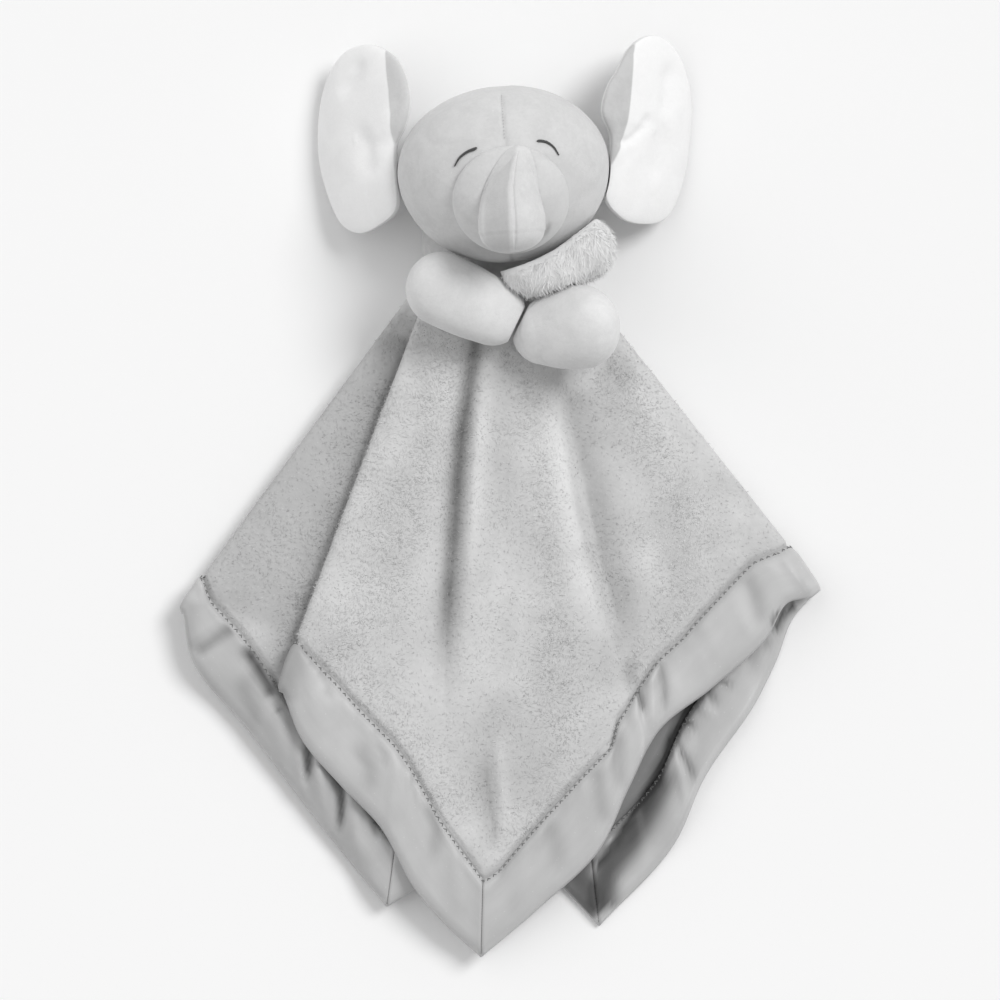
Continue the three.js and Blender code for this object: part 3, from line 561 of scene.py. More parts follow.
@dataclass(frozen=True)
class Finish:
    """Common ground of the finishes: a name, the two greys that its tone runs between, and its sheen."""

    name: str
    dark: float
    light: float
    roughness: float = 0.9
    sheen: float = 0.3
    sheen_roughness: float = 0.4
    specular: float = 0.25

    def begin(self) -> MaterialBench:
        """Starts the material."""
        return MaterialBench(self.name, {
            "Roughness": self.roughness,
            "Sheen Weight": self.sheen,
            "Sheen Roughness": self.sheen_roughness,
            "Specular IOR Level": self.specular,
        })

    def tint(self, bench: NodeBench, tone: Socket, low: float, high: float) -> Socket:
        """Colour between the dark and the light grey, as the tone runs from low to high."""
        return bench.mixed(bench.ranged(tone, low, high), grey(self.dark), grey(self.light))

    def shaded(self, bench: MaterialBench, colour: Socket) -> Socket:
        """Paints shade into a colour inside the folds and the other hollows, by the piece's own shade value.
        """
        return bench.mixed(bench.carried("shade"), colour, grey(PAINTED_SHADE_GREY))

    def nap_and_painted_light(self, bench: MaterialBench, tone: Socket) -> Socket:
        """Colour of the fleece: its tone plus the piece's carried value, which holds the nap's random tone
        with painted shade in the folds and painted light along the ridges.
        """
        both = bench.plus(tone, bench.times(bench.carried("nap_and_painted_light"), NAP_AND_PAINTED_LIGHT_SHARE))
        return self.tint(bench, both, *NAP_AND_PAINTED_LIGHT_TONES)

    def handled(self, bench: MaterialBench, colour: Socket, level: float, patch: float) -> Socket:
        """Lays the marks of handling over a colour.

        Args:
            bench: the material's bench.
            colour: colour underneath.
            level: grey of the rubbed patches.
            patch: their size in metres.

        Returns:
            The marked colour.
        """
        marks = bench.group(HANDLING, {"Position": bench.place(Read.OBJECT), "Patch Size": patch})
        rubbed = bench.mixed(bench.times(marks["Rubbed"], RUBBED_SHARE), colour, grey(level))
        return bench.mixed(bench.times(marks["Lint"], LINT_SHARE), rubbed, grey(LINT_GREY))

    def rubbed_grey(self) -> float:
        """Grey of the rubbed patches, a little under the middle of the tones."""
        return (self.dark + self.light) / 2 - 4


@dataclass(frozen=True)
class Velour(Finish):
    """Short-pile velour: soft sheen, fine nap and drifting tone."""

    fibre: float = 0.0004
    depth: float = 0.00035
    panel_light: float | None = None

    def make(self) -> Material:
        """Builds the material; with panel_light, a light fabric lies where the panel value is below 0."""
        bench = self.begin()
        nap = bench.group(NAP, {"Position": bench.place(Read.OBJECT), "Fibre Size": self.fibre})
        colour = self.tint(bench, nap["Tone"], 0.38, 0.62)
        colour = self.handled(bench, colour, self.rubbed_grey(), 0.03)
        if self.panel_light is not None:
            pale = Velour(self.name, self.panel_light - 3, self.panel_light + 3)
            side = bench.ranged(bench.carried("panel"), -0.25, 0.25)
            colour = bench.mixed(side, pale.tint(bench, nap["Tone"], 0.3, 0.7), colour)
        bench.bumped(nap["Height"], self.depth, 0.55)
        return bench.coloured(self.shaded(bench, colour))


@dataclass(frozen=True)
class Fleece(Finish):
    """Coral fleece: curled clumps of soft pile."""

    clump: float = 0.0022
    depth: float = 0.0005

    def make(self) -> Material:
        """Builds the material."""
        bench = self.begin()
        clumps = bench.group(CLUMPS, {"Position": bench.place(Read.OBJECT), "Clump Size": self.clump})
        # the carried value adds painted shade in the folds and painted light along the ridges
        colour = self.nap_and_painted_light(bench, bench.plus(bench.times(clumps["Tone"], 0.4), 0.05))
        bench.bumped(clumps["Height"], self.depth, 0.6)
        return bench.coloured(self.handled(bench, colour, self.rubbed_grey(), 0.05))


@dataclass(frozen=True)
class Pile(Finish):
    """Loose fibres of the fleece, each with its own tone."""

    def make(self) -> Material:
        """Builds the material; the piece's tone value is one number for each fibre."""
        bench = self.begin()
        clumps = bench.group(CLUMPS, {"Position": bench.place(Read.OBJECT)})
        own, drift = bench.times(bench.carried("tone"), 0.3), bench.times(clumps["Tone"], 0.25)
        # the carried value adds painted shade in the folds and painted light along the ridges
        return bench.coloured(self.nap_and_painted_light(bench, bench.plus(own, drift)))


@dataclass(frozen=True)
class Satin(Finish):
    """Satin ribbon: slanting weave, a soft gloss and faint slubs, all on the cloth's own map."""

    pitch: float = 0.0003
    depth: float = 0.00006
    gloss_change: float = 0.06

    def make(self) -> Material:
        """Builds the material."""
        bench = self.begin()
        weave = bench.group(WEAVE, {"Cloth": bench.place(Read.CLOTH), "Thread Pitch": self.pitch})
        colour = self.tint(bench, weave["Tone"], 0.35, 0.65)
        colour = self.handled(bench, colour, self.dark - 3, 0.025)
        least, most = self.roughness - self.gloss_change, self.roughness + self.gloss_change
        bench.join(bench.ranged(weave["Tone"], 0.3, 0.7, least, most), bench.shader.inputs["Roughness"])
        bench.bumped(weave["Height"], self.depth, 0.35)
        return bench.coloured(self.shaded(bench, colour))


@dataclass(frozen=True)
class Thread(Finish):
    """Spun sewing thread with a fine twist."""

    depth: float = 0.0001

    def make(self) -> Material:
        """Builds the material."""
        bench = self.begin()
        spun = {"Vector": bench.place(Read.OBJECT), "Scale": 900.0, "Distortion": 3.0, "Detail": 2.0}
        twist = bench.add("ShaderNodeTexWave", spun, bands_direction="DIAGONAL").outputs["Fac"]
        bench.bumped(twist, self.depth, 0.5)
        return bench.coloured(self.tint(bench, twist, 0.1, 0.9))


@dataclass(frozen=True)
class Tabletop(Finish):
    """Plain pale surface that the toy lies on."""

    def make(self) -> Material:
        """Builds the material."""
        bench = self.begin()
        grain = bench.noise(bench.place(Read.OBJECT), 3.0, 2.0)
        return bench.coloured(self.tint(bench, grain.outputs[0], 0.2, 0.8))


# Geometry trees


def stitch_tree() -> Tree:
    """Row of stitches: one small rounded bar on each point, slanting to either side by turns."""
    inputs = {
        "Geometry": "Geometry", "Stitch Length": 0.002, "Thread Width": 0.0005, "Slant": 0.5,
        "Finish": "Material",
    }
    bench = GroupBench("row_of_stitches", "GeometryNodeTree", inputs, {"Geometry": "Geometry"})
    given = bench.given
    half, width = bench.times(given["Stitch Length"], 0.5), bench.times(given["Thread Width"], 0.5)
    size = bench.add("ShaderNodeCombineXYZ", {0: half, 1: width, 2: width})
    bar = bench.add("GeometryNodeMeshUVSphere", {"Segments": 6, "Rings": 5, "Radius": 1.0})
    sized = bench.add("GeometryNodeTransform", {"Geometry": bar.outputs[0], "Scale": size.outputs[0]})
    axes = {0: bench.named("facing", "FLOAT_VECTOR"), 1: bench.named("along", "FLOAT_VECTOR")}
    turn = bench.add("FunctionNodeAxesToRotation", axes, primary_axis="Z", secondary_axis="X")
    odd = bench.math("MODULO", bench.add("GeometryNodeInputIndex").outputs[0], 2.0)
    swing = bench.times(bench.math("SUBTRACT", bench.times(odd, 2.0), 1.0), given["Slant"])
    slant = bench.add("FunctionNodeAxisAngleToRotation", {0: (0, 0, 1), 1: swing})
    both = {0: turn.outputs[0], 1: slant.outputs[0]}
    turned = bench.add("FunctionNodeRotateRotation", both, rotation_space="LOCAL")
    placed = bench.add("GeometryNodeInstanceOnPoints", {
        "Points": bench.add("GeometryNodeMeshToPoints", {"Mesh": given["Geometry"]}).outputs[0],
        "Instance": sized.outputs[0],
        "Rotation": turned.outputs[0],
        "Scale": bench.named("size"),
    })
    real = bench.add("GeometryNodeRealizeInstances", {"Geometry": placed.outputs[0]})
    return bench.dressed(bench.add("GeometryNodeSetShadeSmooth", {"Geometry": real.outputs[0]}).outputs[0])


def pile_tree() -> Tree:
    """Pile: tapered tufts scattered over a surface, lying over in swirls."""
    inputs = {
        "Geometry": "Geometry", "Tufts per Square Metre": 400000.0, "Length": 0.002, "Width": 0.0006,
        "Lean": 1.6, "Swirl Size": 0.012, "Comb": (0.0, -0.45, 0.0), "Seed": 3, "Finish": "Material",
    }
    bench = GroupBench("lying_pile", "GeometryNodeTree", inputs, {"Geometry": "Geometry"})
    given = bench.given
    spread = bench.add("GeometryNodeDistributePointsOnFaces", {
        "Mesh": given["Geometry"],
        "Density": bench.times(given["Tufts per Square Metre"], bench.named("ruffle")),
        "Seed": given["Seed"],
    })
    cone = {
        "Vertices": 3, "Side Segments": 1, "Depth": given["Length"],
        "Radius Top": 0.0, "Radius Bottom": bench.times(given["Width"], 0.5),
    }
    tuft = bench.add("GeometryNodeMeshCone", cone, fill_type="NONE")
    flat = bench.add("GeometryNodeTransform", {"Geometry": tuft.outputs[0], "Scale": (0.22, 1.0, 1.0)})
    place = bench.add("GeometryNodeInputPosition")
    swirls = bench.noise(place.outputs[0], bench.math("DIVIDE", 1.0, given["Swirl Size"]), 1.0)
    centred = bench.vector("SUBTRACT", swirls.outputs[1], (0.5, 0.5, 0.5))
    flow = bench.vector("ADD", bench.vector("MULTIPLY", centred, (5.0, 5.0, 2.0)), given["Comb"])
    strays = {0: (-0.55, -0.55, -0.3), 1: (0.55, 0.55, 0.3), "Seed": given["Seed"]}
    stray = bench.add("FunctionNodeRandomValue", strays, data_type="FLOAT_VECTOR")
    lean = bench.add("ShaderNodeCombineXYZ", {axis: given["Lean"] for axis in range(3)})
    laid = bench.vector("MULTIPLY", bench.vector("ADD", flow, stray.outputs[0]), lean.outputs[0])
    normal = spread.outputs["Normal"]
    risen = bench.vector("PROJECT", laid, normal)
    axes = {0: bench.vector("ADD", normal, bench.vector("SUBTRACT", laid, risen)), 1: normal}
    turn = bench.add("FunctionNodeAxesToRotation", axes, primary_axis="Z", secondary_axis="X")
    size = bench.add("FunctionNodeRandomValue", {2: 0.65, 3: 1.3, "Seed": given["Seed"]}, data_type="FLOAT")
    placed = bench.add("GeometryNodeInstanceOnPoints", {
        "Points": spread.outputs["Points"],
        "Instance": flat.outputs[0],
        "Rotation": turn.outputs[0],
        "Scale": size.outputs[1],
    })
    tone = bench.add("FunctionNodeRandomValue", {2: 0.0, 3: 1.0, "Seed": 11}, data_type="FLOAT")
    marked = {"Geometry": placed.outputs[0], "Name": "tone", "Value": tone.outputs[1]}
    kept = bench.add("GeometryNodeStoreNamedAttribute", marked, data_type="FLOAT", domain="INSTANCE")
    return bench.dressed(bench.add("GeometryNodeRealizeInstances", {"Geometry": kept.outputs[0]}).outputs[0])


STITCHES = stitch_tree()
PILE = pile_tree()


def stitched(
    name: str,
    spots: Points,
    facing: Points,
    along: Points,
    thread: Material,
    size: Row,
    shares: Points | None = None,
) -> Piece:
    """Sews a row of stitches.

    Args:
        name: the piece's name.
        spots: middle of each stitch, in millimetres.
        facing: outward direction at each.
        along: direction that each lies in.
        thread: its material.
        size: stitch length and thread width in millimetres, and slant in radians.
        shares: share of the full size of each stitch, or None where all are full.

    Returns:
        The row as a plain piece.
    """
    shares = np.ones(len(spots)) if shares is None else shares
    marks = {"facing": facing, "along": along, "size": shares}
    carrier = mesh_object(name + "_carrier", spots, [], thread, values=marks)
    values = {"Stitch Length": size[0] * MM, "Thread Width": size[1] * MM, "Slant": size[2], "Finish": thread}
    return grown(carrier, STITCHES, values, name)


def seam_stitches(
    name: str, line: Points, facing: Points, pitch: float, thread: Material, size: Row
) -> Piece:
    """Sews stitches at an even pitch along a line.

    Args:
        name: the piece's name.
        line: points of the line, in millimetres.
        facing: outward direction at each of them.
        pitch: distance between stitches.
        thread: material.
        size: stitch length, thread width and slant.

    Returns:
        The row as a plain piece.
    """
    done = walked(line)
    count = max(int(done[-1] / pitch), 2)
    at = (np.arange(count) + 0.5) * done[-1] / count
    spots, out = (
        np.column_stack([np.interp(at, done, column) for column in rows.T]) for rows in (line, facing)
    )
    return stitched(name, spots, unit(out), unit(np.gradient(spots, axis=0)), thread, size)


# The head's own frame


@dataclass(frozen=True)
class HeadFrame:
    """Place and form of the stuffed head: an egg that leans a little to the left."""

    centre: Row = (0.7, 148.5, 38.5)
    half_width: float = 47.7
    crown: float = 37.3
    chin: float = 42.3
    half_depth: float = 39.0
    tilt_degrees: float = 4.0

    def turn(self) -> Points:
        """Rotation from the head's frame to the part's."""
        return about_z(math.radians(self.tilt_degrees))

    def out_of(self, local: Points) -> Points:
        """Places in the part's frame of places in the head's: right, up and out."""
        return np.atleast_2d(local) @ self.turn().T + np.array(self.centre)

    def into(self, world: Points) -> Points:
        """Places in the head's frame of places in the part's."""
        return (np.atleast_2d(world) - np.array(self.centre)) @ self.turn()

    def height(self, up: Points) -> Points:
        """Half height on the side of the middle that each place is on."""
        return np.where(up > 0, self.crown, self.chin)

    def spot(self, right: Points, up: Points, lift: Points | float) -> Points:
        """Places over the face.

        Args:
            right: distance to the right of the face's middle.
            up: distance above it.
            lift: distance out from the surface.

        Returns:
            Places in the part's frame.
        """
        right, up = np.atleast_1d(right).astype(float), np.atleast_1d(up).astype(float)
        high = self.height(up)
        reach = (right / self.half_width) ** 2 + (up / high) ** 2
        rise = self.half_depth * np.sqrt(np.maximum(0, 1 - reach))
        slope = np.column_stack([right / self.half_width**2, up / high**2, rise / self.half_depth**2])
        lifts = np.broadcast_to(np.asarray(lift, float), right.shape)[:, None]
        return self.out_of(np.column_stack([right, up, rise]) + unit(slope) * lifts)

    def cleared(self, world: Points, gap: Points | float) -> Points:
        """Moves places that are inside the head, grown by a gap, straight out to its surface."""
        local = self.into(world)
        width, depth = (np.broadcast_to(h + gap, len(local)) for h in (self.half_width, self.half_depth))
        radii = np.column_stack([width, self.height(local[:, 1]) + gap, depth])
        reach = np.linalg.norm(local / radii, axis=1)[:, None]
        return self.out_of(np.where(reach < 1, local / np.maximum(reach, 0.2), local))


HEAD = HeadFrame()
NECK_CENTRE = np.array([-0.9, 96.5])
UP = np.array([0.0, 0.0, 1.0])


# Blanket


@dataclass(frozen=True)
class Hem:
    """The hem walked round once.

    Each row holds shares of the side to the right of and above the neck's centre, the share of the neck's
    half width where the ray starts, the layer's level, and its drop at the hem or, for a fold, the level
    that it turns to.
    """

    back_right: tuple[Row, ...] = (
        (0.306, -0.334, 0.87, 3.5, -0.5),
        (0.283, -0.370, 0.78, 3.6, -0.6),
        (0.223, -0.426, 0.69, 3.5, -0.3),
        (0.169, -0.469, 0.60, 3.9, 0.0),
        (0.137, -0.529, 0.50, 4.8, 0.2),
        (0.105, -0.596, 0.37, 5.3, 0.8),
        (0.042, -0.657, 0.19, 5.3, 1.6),
    )
    front: tuple[Row, ...] = (
        (-0.020, -0.710, -0.04, 5.2, 2.4),
        (-0.057, -0.676, -0.20, 5.3, 1.5),
        (-0.090, -0.637, -0.32, 5.3, 0.7),
        (-0.127, -0.571, -0.44, 5.4, 0.4),
        (-0.169, -0.527, -0.56, 5.3, 0.1),
        (-0.210, -0.478, -0.67, 5.1, 0.0),
    )
    first_left_fold: Row = (-0.233, -0.429, -0.84, 5.0, 4.0)
    second: tuple[Row, ...] = ((-0.116, -0.457, -0.44, 4.0, 0.0), (0.000, -0.486, 0.00, 4.0, 0.0))
    first_right_fold: Row = (0.118, -0.517, 0.44, 4.0, 3.0)
    third: tuple[Row, ...] = (
        (-0.001, -0.587, 0.06, 3.0, 0.3),
        (-0.120, -0.657, -0.31, 3.0, 1.3),
        (-0.190, -0.571, -0.52, 3.0, 1.0),
        (-0.264, -0.473, -0.70, 3.0, 0.4),
        (-0.328, -0.388, -0.86, 3.0, 0.1),
    )
    second_left_fold: Row = (-0.338, -0.345, -1.00, 3.0, 2.0)
    fourth: tuple[Row, ...] = ((-0.190, -0.408, -0.56, 2.0, 0.0), (-0.047, -0.467, -0.10, 2.0, 0.0))
    second_right_fold: Row = (0.095, -0.522, 0.35, 2.0, 1.0)
    fifth: tuple[Row, ...] = (
        (0.038, -0.597, 0.19, 1.0, 0.0),
        (-0.019, -0.671, -0.04, 1.0, 0.0),
        (-0.118, -0.572, -0.38, 1.0, 0.0),
        (-0.217, -0.473, -0.69, 1.0, 0.0),
    )
    third_left_fold: Row = (-0.320, -0.362, -0.99, 1.0, 0.08)
    bottom: tuple[Row, ...] = (
        (-0.197, -0.454, -0.63, 0.0, -0.3),
        (-0.077, -0.533, -0.23, 0.08, 0.0),
        (0.042, -0.613, 0.10, 0.08, 0.0),
        (0.105, -0.678, 0.30, 0.08, 0.0),
        (0.188, -0.585, 0.45, 0.08, 0.0),
        (0.214, -0.525, 0.56, 0.0, -0.3),
        (0.274, -0.435, 0.70, 0.08, 0.0),
        (0.293, -0.396, 0.79, 0.08, 0.0),
        (0.311, -0.351, 0.88, 0.08, 0.0),
    )
    third_right_fold: Row = (0.339, -0.322, 1.00, 0.08, 3.1)


class Panel(Enum):
    """Runs of cloth between one fold and the next, with the pitch of their columns at the hem."""

    FRONT = 2.1
    SECOND = 6.0
    LEFT = 1.8
    FOURTH = 6.5
    FIFTH = 5.0
    BOTTOM = 2.3


# What a column of the cloth holds: its hem's place, its neck's x, a fold's offset, its height and its drop
HEM, NECK, OFFSET, HEIGHT, DROP = slice(0, 2), 2, slice(3, 5), 5, 6


@dataclass
class FoldedCloth:
    """Square of plush folded fan-wise from a neck: a grid of columns round the hem and rows down the rays."""

    side: float = 427.0
    neck_width: float = 72.0
    half_stack: float = 1.45
    pitch: float = 3.6
    bound: float = 0.88
    fold_steps: int = 9
    rows: int = 62
    bound_rows: int = 12
    fold_opens: Row = (0.25, 0.35)
    relief_edge: float = 9.0
    arms_reach: Row = (60.0, 7.0)
    arms_rest: float = 22.9
    free_rise: float = 30.0

    def __post_init__(self) -> None:
        """Walks the hem and works out the cloth's middle surface and its normals."""
        self.columns: list[Points] = []
        self.panel_of: list[Panel | None] = []
        self.corner_columns: list[int] = []
        self.walk()
        self.table = np.array(self.columns)
        self.spread = self.spread_offsets()
        self.bounds = self.bound_shares()
        self.shares = self.row_shares()
        self.middle = self.surface_at(self.shares)
        self.normals = self.surface_normals(self.middle)

    def fold_ends(self, row: Row, side: int) -> tuple[Points, Points, Points, float]:
        """Where a fold starts and ends.

        Args:
            row: the fold's hem row.
            side: -1 at the left, 1 at the right.

        Returns:
            Column values at its start and end, its outward direction and its radius.
        """
        hem = NECK_CENTRE + np.array(row[:2]) * self.side
        neck = NECK_CENTRE + np.array([row[2] * self.neck_width / 2, 0.0])
        ray = unit(hem - neck)
        outward = np.array([-ray[1], ray[0]]) * side
        radius = abs(row[3] - row[4]) * self.pitch / 2
        start, end = (
            np.array([*hem, neck[0], *(-outward * radius), self.half_stack + level * self.pitch, 0.0])
            for level in row[3:5]
        )
        return start, end, outward, radius

    def straight(self, row: Row) -> Points:
        """Column values of a plain hem row: hem, neck, offset, height and drop."""
        hem = NECK_CENTRE + np.array(row[:2]) * self.side
        neck = NECK_CENTRE[0] + row[2] * self.neck_width / 2
        return np.array([*hem, neck, 0.0, 0.0, self.half_stack + row[3] * self.pitch, row[4] * self.pitch])

    def add_run(self, rows: list[Points], corners: list[int], panel: Panel) -> None:
        """Adds the columns of one run.

        Args:
            rows: column values at the run's control rows.
            corners: numbers of the rows at a corner of the blanket.
            panel: which run this is.
        """
        control = np.array(rows)
        plan = control[:, HEM] + control[:, OFFSET]
        gaps = np.maximum(np.linalg.norm(np.diff(plan, axis=0), axis=1), 0.5)
        stations = np.concatenate([[0.0], np.cumsum(gaps)])
        breaks = [0, *corners, len(rows) - 1]
        for start, end in zip(breaks[:-1], breaks[1:]):
            span = stations[end] - stations[start]
            count = max(int(round(span / panel.value)), 2)
            at = stations[start] + span * np.arange(count) / count
            part = slice(start, end + 1)
            made = through(at, stations[part], control[part], monotone=False)
            heights = through(at, stations, control, monotone=True)
            for column in (NECK, HEIGHT, DROP):
                made[:, column] = heights[:, column]
            if start in corners:
                self.corner_columns.append(len(self.columns))
            self.columns.extend(made)
            self.panel_of.extend([panel] * count)

    def add_fold(self, row: Row, side: int) -> None:
        """Adds the columns round one fold, its first one included."""
        start, _, outward, radius = self.fold_ends(row, side)
        height = self.half_stack + (row[3] + row[4]) / 2 * self.pitch
        for k in range(self.fold_steps):
            angle = math.pi * (0.5 - k / self.fold_steps) * (1 if row[3] > row[4] else -1)
            column = start.copy()
            column[OFFSET] = outward * radius * (math.cos(angle) - 1)
            column[HEIGHT] = height + radius * math.sin(angle)
            self.columns.append(column)
            self.panel_of.append(None)

    def walk(self) -> None:
        """Walks the whole hem, from the fold at the far right round to it again."""
        hem = Hem()
        folds = [
            (hem.third_right_fold, 1),
            (hem.first_left_fold, -1),
            (hem.first_right_fold, 1),
            (hem.second_left_fold, -1),
            (hem.second_right_fold, 1),
            (hem.third_left_fold, -1),
        ]
        runs = [
            (hem.back_right + hem.front, [len(hem.back_right) + 1]),
            (hem.second, []),
            (hem.third, [2]),
            (hem.fourth, []),
            (hem.fifth, [2]),
            (hem.bottom, [4]),
        ]
        for number, (panel, (rows, corners)) in enumerate(zip(Panel, runs)):
            last_fold, last_side = folds[number]
            next_fold, next_side = folds[(number + 1) % len(folds)]
            start = self.fold_ends(last_fold, last_side)[1]
            end = self.fold_ends(next_fold, next_side)[0]
            self.add_run([start, *[self.straight(row) for row in rows], end], corners, panel)
            self.add_fold(next_fold, next_side)

    def spread_offsets(self) -> Points:
        """Plan offsets of the folds, let out evenly over each whole run."""
        offsets = self.table[:, OFFSET].copy()
        for panel in Panel:
            here = np.flatnonzero(self.in_panels(panel))
            share = np.linspace(0, 1, len(here))[:, None]
            ends = self.table[[here[0], (here[-1] + 1) % len(offsets)], OFFSET]
            offsets[here] = ends[0] * (1 - share) + ends[1] * share
        return offsets

    def bound_shares(self) -> Points:
        """Share of each column's ray where the binding's stitches cross it, off the drawn stitch lines."""
        tries = np.linspace(0.78, 0.97, 191)
        known = np.where([panel is None for panel in self.panel_of], np.nan, self.bound)
        for panel, drawn in ((Panel.FRONT, FRONT_STITCHES), (Panel.LEFT, LEFT_STITCHES)):
            line = from_photo(drawn)
            for k, (row, here) in enumerate(zip(self.table, self.panel_of)):
                if here is not panel:
                    continue
                neck = np.array([row[NECK], NECK_CENTRE[1]]) + row[OFFSET]
                spots = neck + tries[:, None] * (row[HEM] + row[OFFSET] - neck)
                far = distance_to_line(spots, line)[0]
                known[k] = tries[far.argmin()] if far.min() < 0.8 else np.nan
        for k, panel in enumerate(self.panel_of):
            near = [self.panel_of[(k + step) % len(self.panel_of)] for step in (-3, -2, -1, 1, 2, 3)]
            if panel not in (Panel.FRONT, Panel.LEFT, None) and None in near:
                known[k] = np.nan
        there = np.flatnonzero(~np.isnan(known))
        filled = np.interp(np.arange(len(known)), there, known[there], period=len(known))
        return (np.roll(filled, 1) + 2 * filled + np.roll(filled, -1)) / 4

    def remapped(self, shares: Points) -> Points:
        """Shares of each column's ray for common row shares, whose rows follow the binding's stitches."""
        s, bound = np.asarray(shares)[None, :], self.bounds[:, None]
        beyond = bound + (s - self.bound) * (1 - bound) / (1 - self.bound)
        return np.where(s < self.bound, s * bound / self.bound, beyond)

    def row_shares(self) -> Points:
        """Shares of the ray where the rows lie, closer together near the binding."""
        loose = np.linspace(0.0, 0.862, self.rows - self.bound_rows)
        return np.concatenate([loose, np.linspace(0.868, 0.954, self.bound_rows)])

    def surface_at(self, shares: Points) -> Points:
        """Middle surface of the cloth, with its ridges and valleys.

        Args:
            shares: shares of the ray, from the neck to the hem.

        Returns:
            Grid of points, columns by rows.
        """
        s = self.remapped(shares)
        plain = np.asarray(shares)[None, :]
        start, run = self.fold_opens
        own = ease((s - start) / run)
        columns = self.table.T[:, :, None]
        necks = (columns[NECK], NECK_CENTRE[1])
        parts = zip(necks, columns[HEM], columns[OFFSET], self.spread.T[:, :, None])
        x, y = (a * (1 - s) + b * s + offset * own + spread * (1 - own) for a, b, offset, spread in parts)
        z = columns[HEIGHT] - columns[DROP] * np.clip((plain - self.bound) / (1 - self.bound), 0, None)
        grid = np.stack([x, y, np.broadcast_to(z, x.shape)], axis=2)
        grid[:, :, 2] += self.relief(grid)
        return grid

    def relief(self, grid: Points) -> Points:
        """Heights added to the flat layers: ridges, valleys, and what lifts or droops beside the front."""
        added = np.zeros(grid.shape[:2])
        front, left = self.in_panels(Panel.FRONT), self.in_panels(Panel.LEFT)
        bends = (
            (front, FRONT_CREASES),
            (self.near_first_fold(), (FOLD_PUFF,)),
            (left, (LEFT_DROOP,)),
            (self.in_panels(Panel.BOTTOM), (RIGHT_CURL,)),
        )
        for here, creases in bends:
            added[here] -= self.sunk(grid, here, creases)
        wave = lattice_noise(grid.reshape(-1, 3) * [1, 1, 0.2], 26.0, 5).reshape(added.shape) * 0.35
        shown = front | left
        added[shown] += wave[shown]
        inward = np.linalg.norm(grid[front][:, :, :2] - grid[0][None, :, :2], axis=2)
        added[front] *= ease(inward / self.relief_edge)
        start, run = self.arms_reach
        clear_of_arms = 1 - ease((grid[:, :, 1] - start) / run)
        limit = self.arms_rest + self.free_rise * clear_of_arms - grid[:, :, 2]
        return np.minimum(added, np.maximum(limit, 0.0))

    @staticmethod
    def sunk(grid: Points, here: Marks, creases: tuple[Crease, ...]) -> Points:
        """Sum of some lines' depths on the marked columns of a grid."""
        plan = grid[here][:, :, :2].reshape(-1, 2)
        return sum(crease.sink(plan) for crease in creases).reshape(-1, grid.shape[1])

    def in_panels(self, *panels: Panel) -> Marks:
        """Marks the columns of some panels."""
        return np.array([panel in panels for panel in self.panel_of])

    def with_folds(self, panel: Panel) -> Marks:
        """Marks the columns of a panel and of the folds beside it."""
        marked = self.in_panels(panel)
        loose = np.array([here is None for here in self.panel_of])
        for _ in range(self.fold_steps):
            marked = marked | (loose & (np.roll(marked, 1) | np.roll(marked, -1)))
        return marked

    def drawn(self, grid: Points, lines: dict[Panel, tuple[Crease, ...]]) -> Points:
        """Sum of the drawn lines' depths at each point of a grid, each panel with its own lines."""
        total = np.zeros(grid.shape[:2])
        for panel, creases in lines.items():
            here = self.with_folds(panel)
            total[here] = self.sunk(grid, here, creases)
        return total

    def near_first_fold(self) -> Marks:
        """Marks the columns of the front, of the fold at its left and of the run that goes on beneath it."""
        marked = self.in_panels(Panel.FRONT, Panel.SECOND)
        first = max(k for k, panel in enumerate(self.panel_of) if panel is Panel.FRONT)
        marked[first : first + self.fold_steps + 1] = True
        return marked

    def nap_and_painted_light(self, grid: Points) -> Points:
        """Tone painted on the plush at each point: random drifts of the nap, painted shade in the valleys, in
        the front fold's shadow and along the stitches, and painted light along the ridges.
        """
        spots = grid.reshape(-1, 3)
        tone = lattice_noise(spots, 24.0, 8) * 0.13 + lattice_noise(spots, 9.0, 9) * 0.08
        # painted shade in the groove along the binding's stitches
        tone = tone.reshape(grid.shape[:2]) - 0.8 * np.exp(-(((self.shares - 0.875) / 0.005) ** 2))[None, :]
        front, left = self.in_panels(Panel.FRONT), self.with_folds(Panel.LEFT)
        for here, shades in ((front, FRONT_SHADES), (left, LEFT_SHADES)):
            tone[here] -= self.sunk(grid, here, shades)
        return np.clip(tone, -1.75, 1.0)

    def ruffle(self, grid: Points) -> Points:
        """Share of the pile that stands up at each point."""
        spots = grid.reshape(-1, 3)
        loose = 0.2 + 0.24 * lattice_noise(spots, 15.0, 12)
        for line, width in RUFFLED:
            far = distance_to_line(spots[:, :2], from_photo(line))[0]
            loose = loose + 0.6 * np.exp(-((far / width) ** 2))
        return np.clip(loose, 0.05, 1.0).reshape(grid.shape[:2])

    def surface_normals(self, grid: Points) -> Points:
        """Normals on the plush side, from the neighbours of each point."""
        round_hem = np.roll(grid, -1, axis=0) - np.roll(grid, 1, axis=0)
        outward = np.gradient(grid, axis=1)
        return unit(np.cross(round_hem, outward))

    def hem_length(self) -> Points:
        """Distance walked round the hem at each column."""
        hem = self.table[:, HEM] + self.table[:, OFFSET]
        steps = np.linalg.norm(np.roll(hem, -1, axis=0) - hem, axis=1)
        return np.concatenate([[0.0], np.cumsum(steps)[:-1]])

    def thickness(self, loose: float, bound: float) -> Points:
        """Offset on each row, from the loose cloth's to the bound edge's, with a dip at the stitches."""
        dip = 0.75 * np.exp(-(((self.shares - 0.8745) / 0.0045) ** 2)) * np.sign(bound)
        return loose + (bound - loose) * ease((self.shares - 0.860) / 0.014) - dip


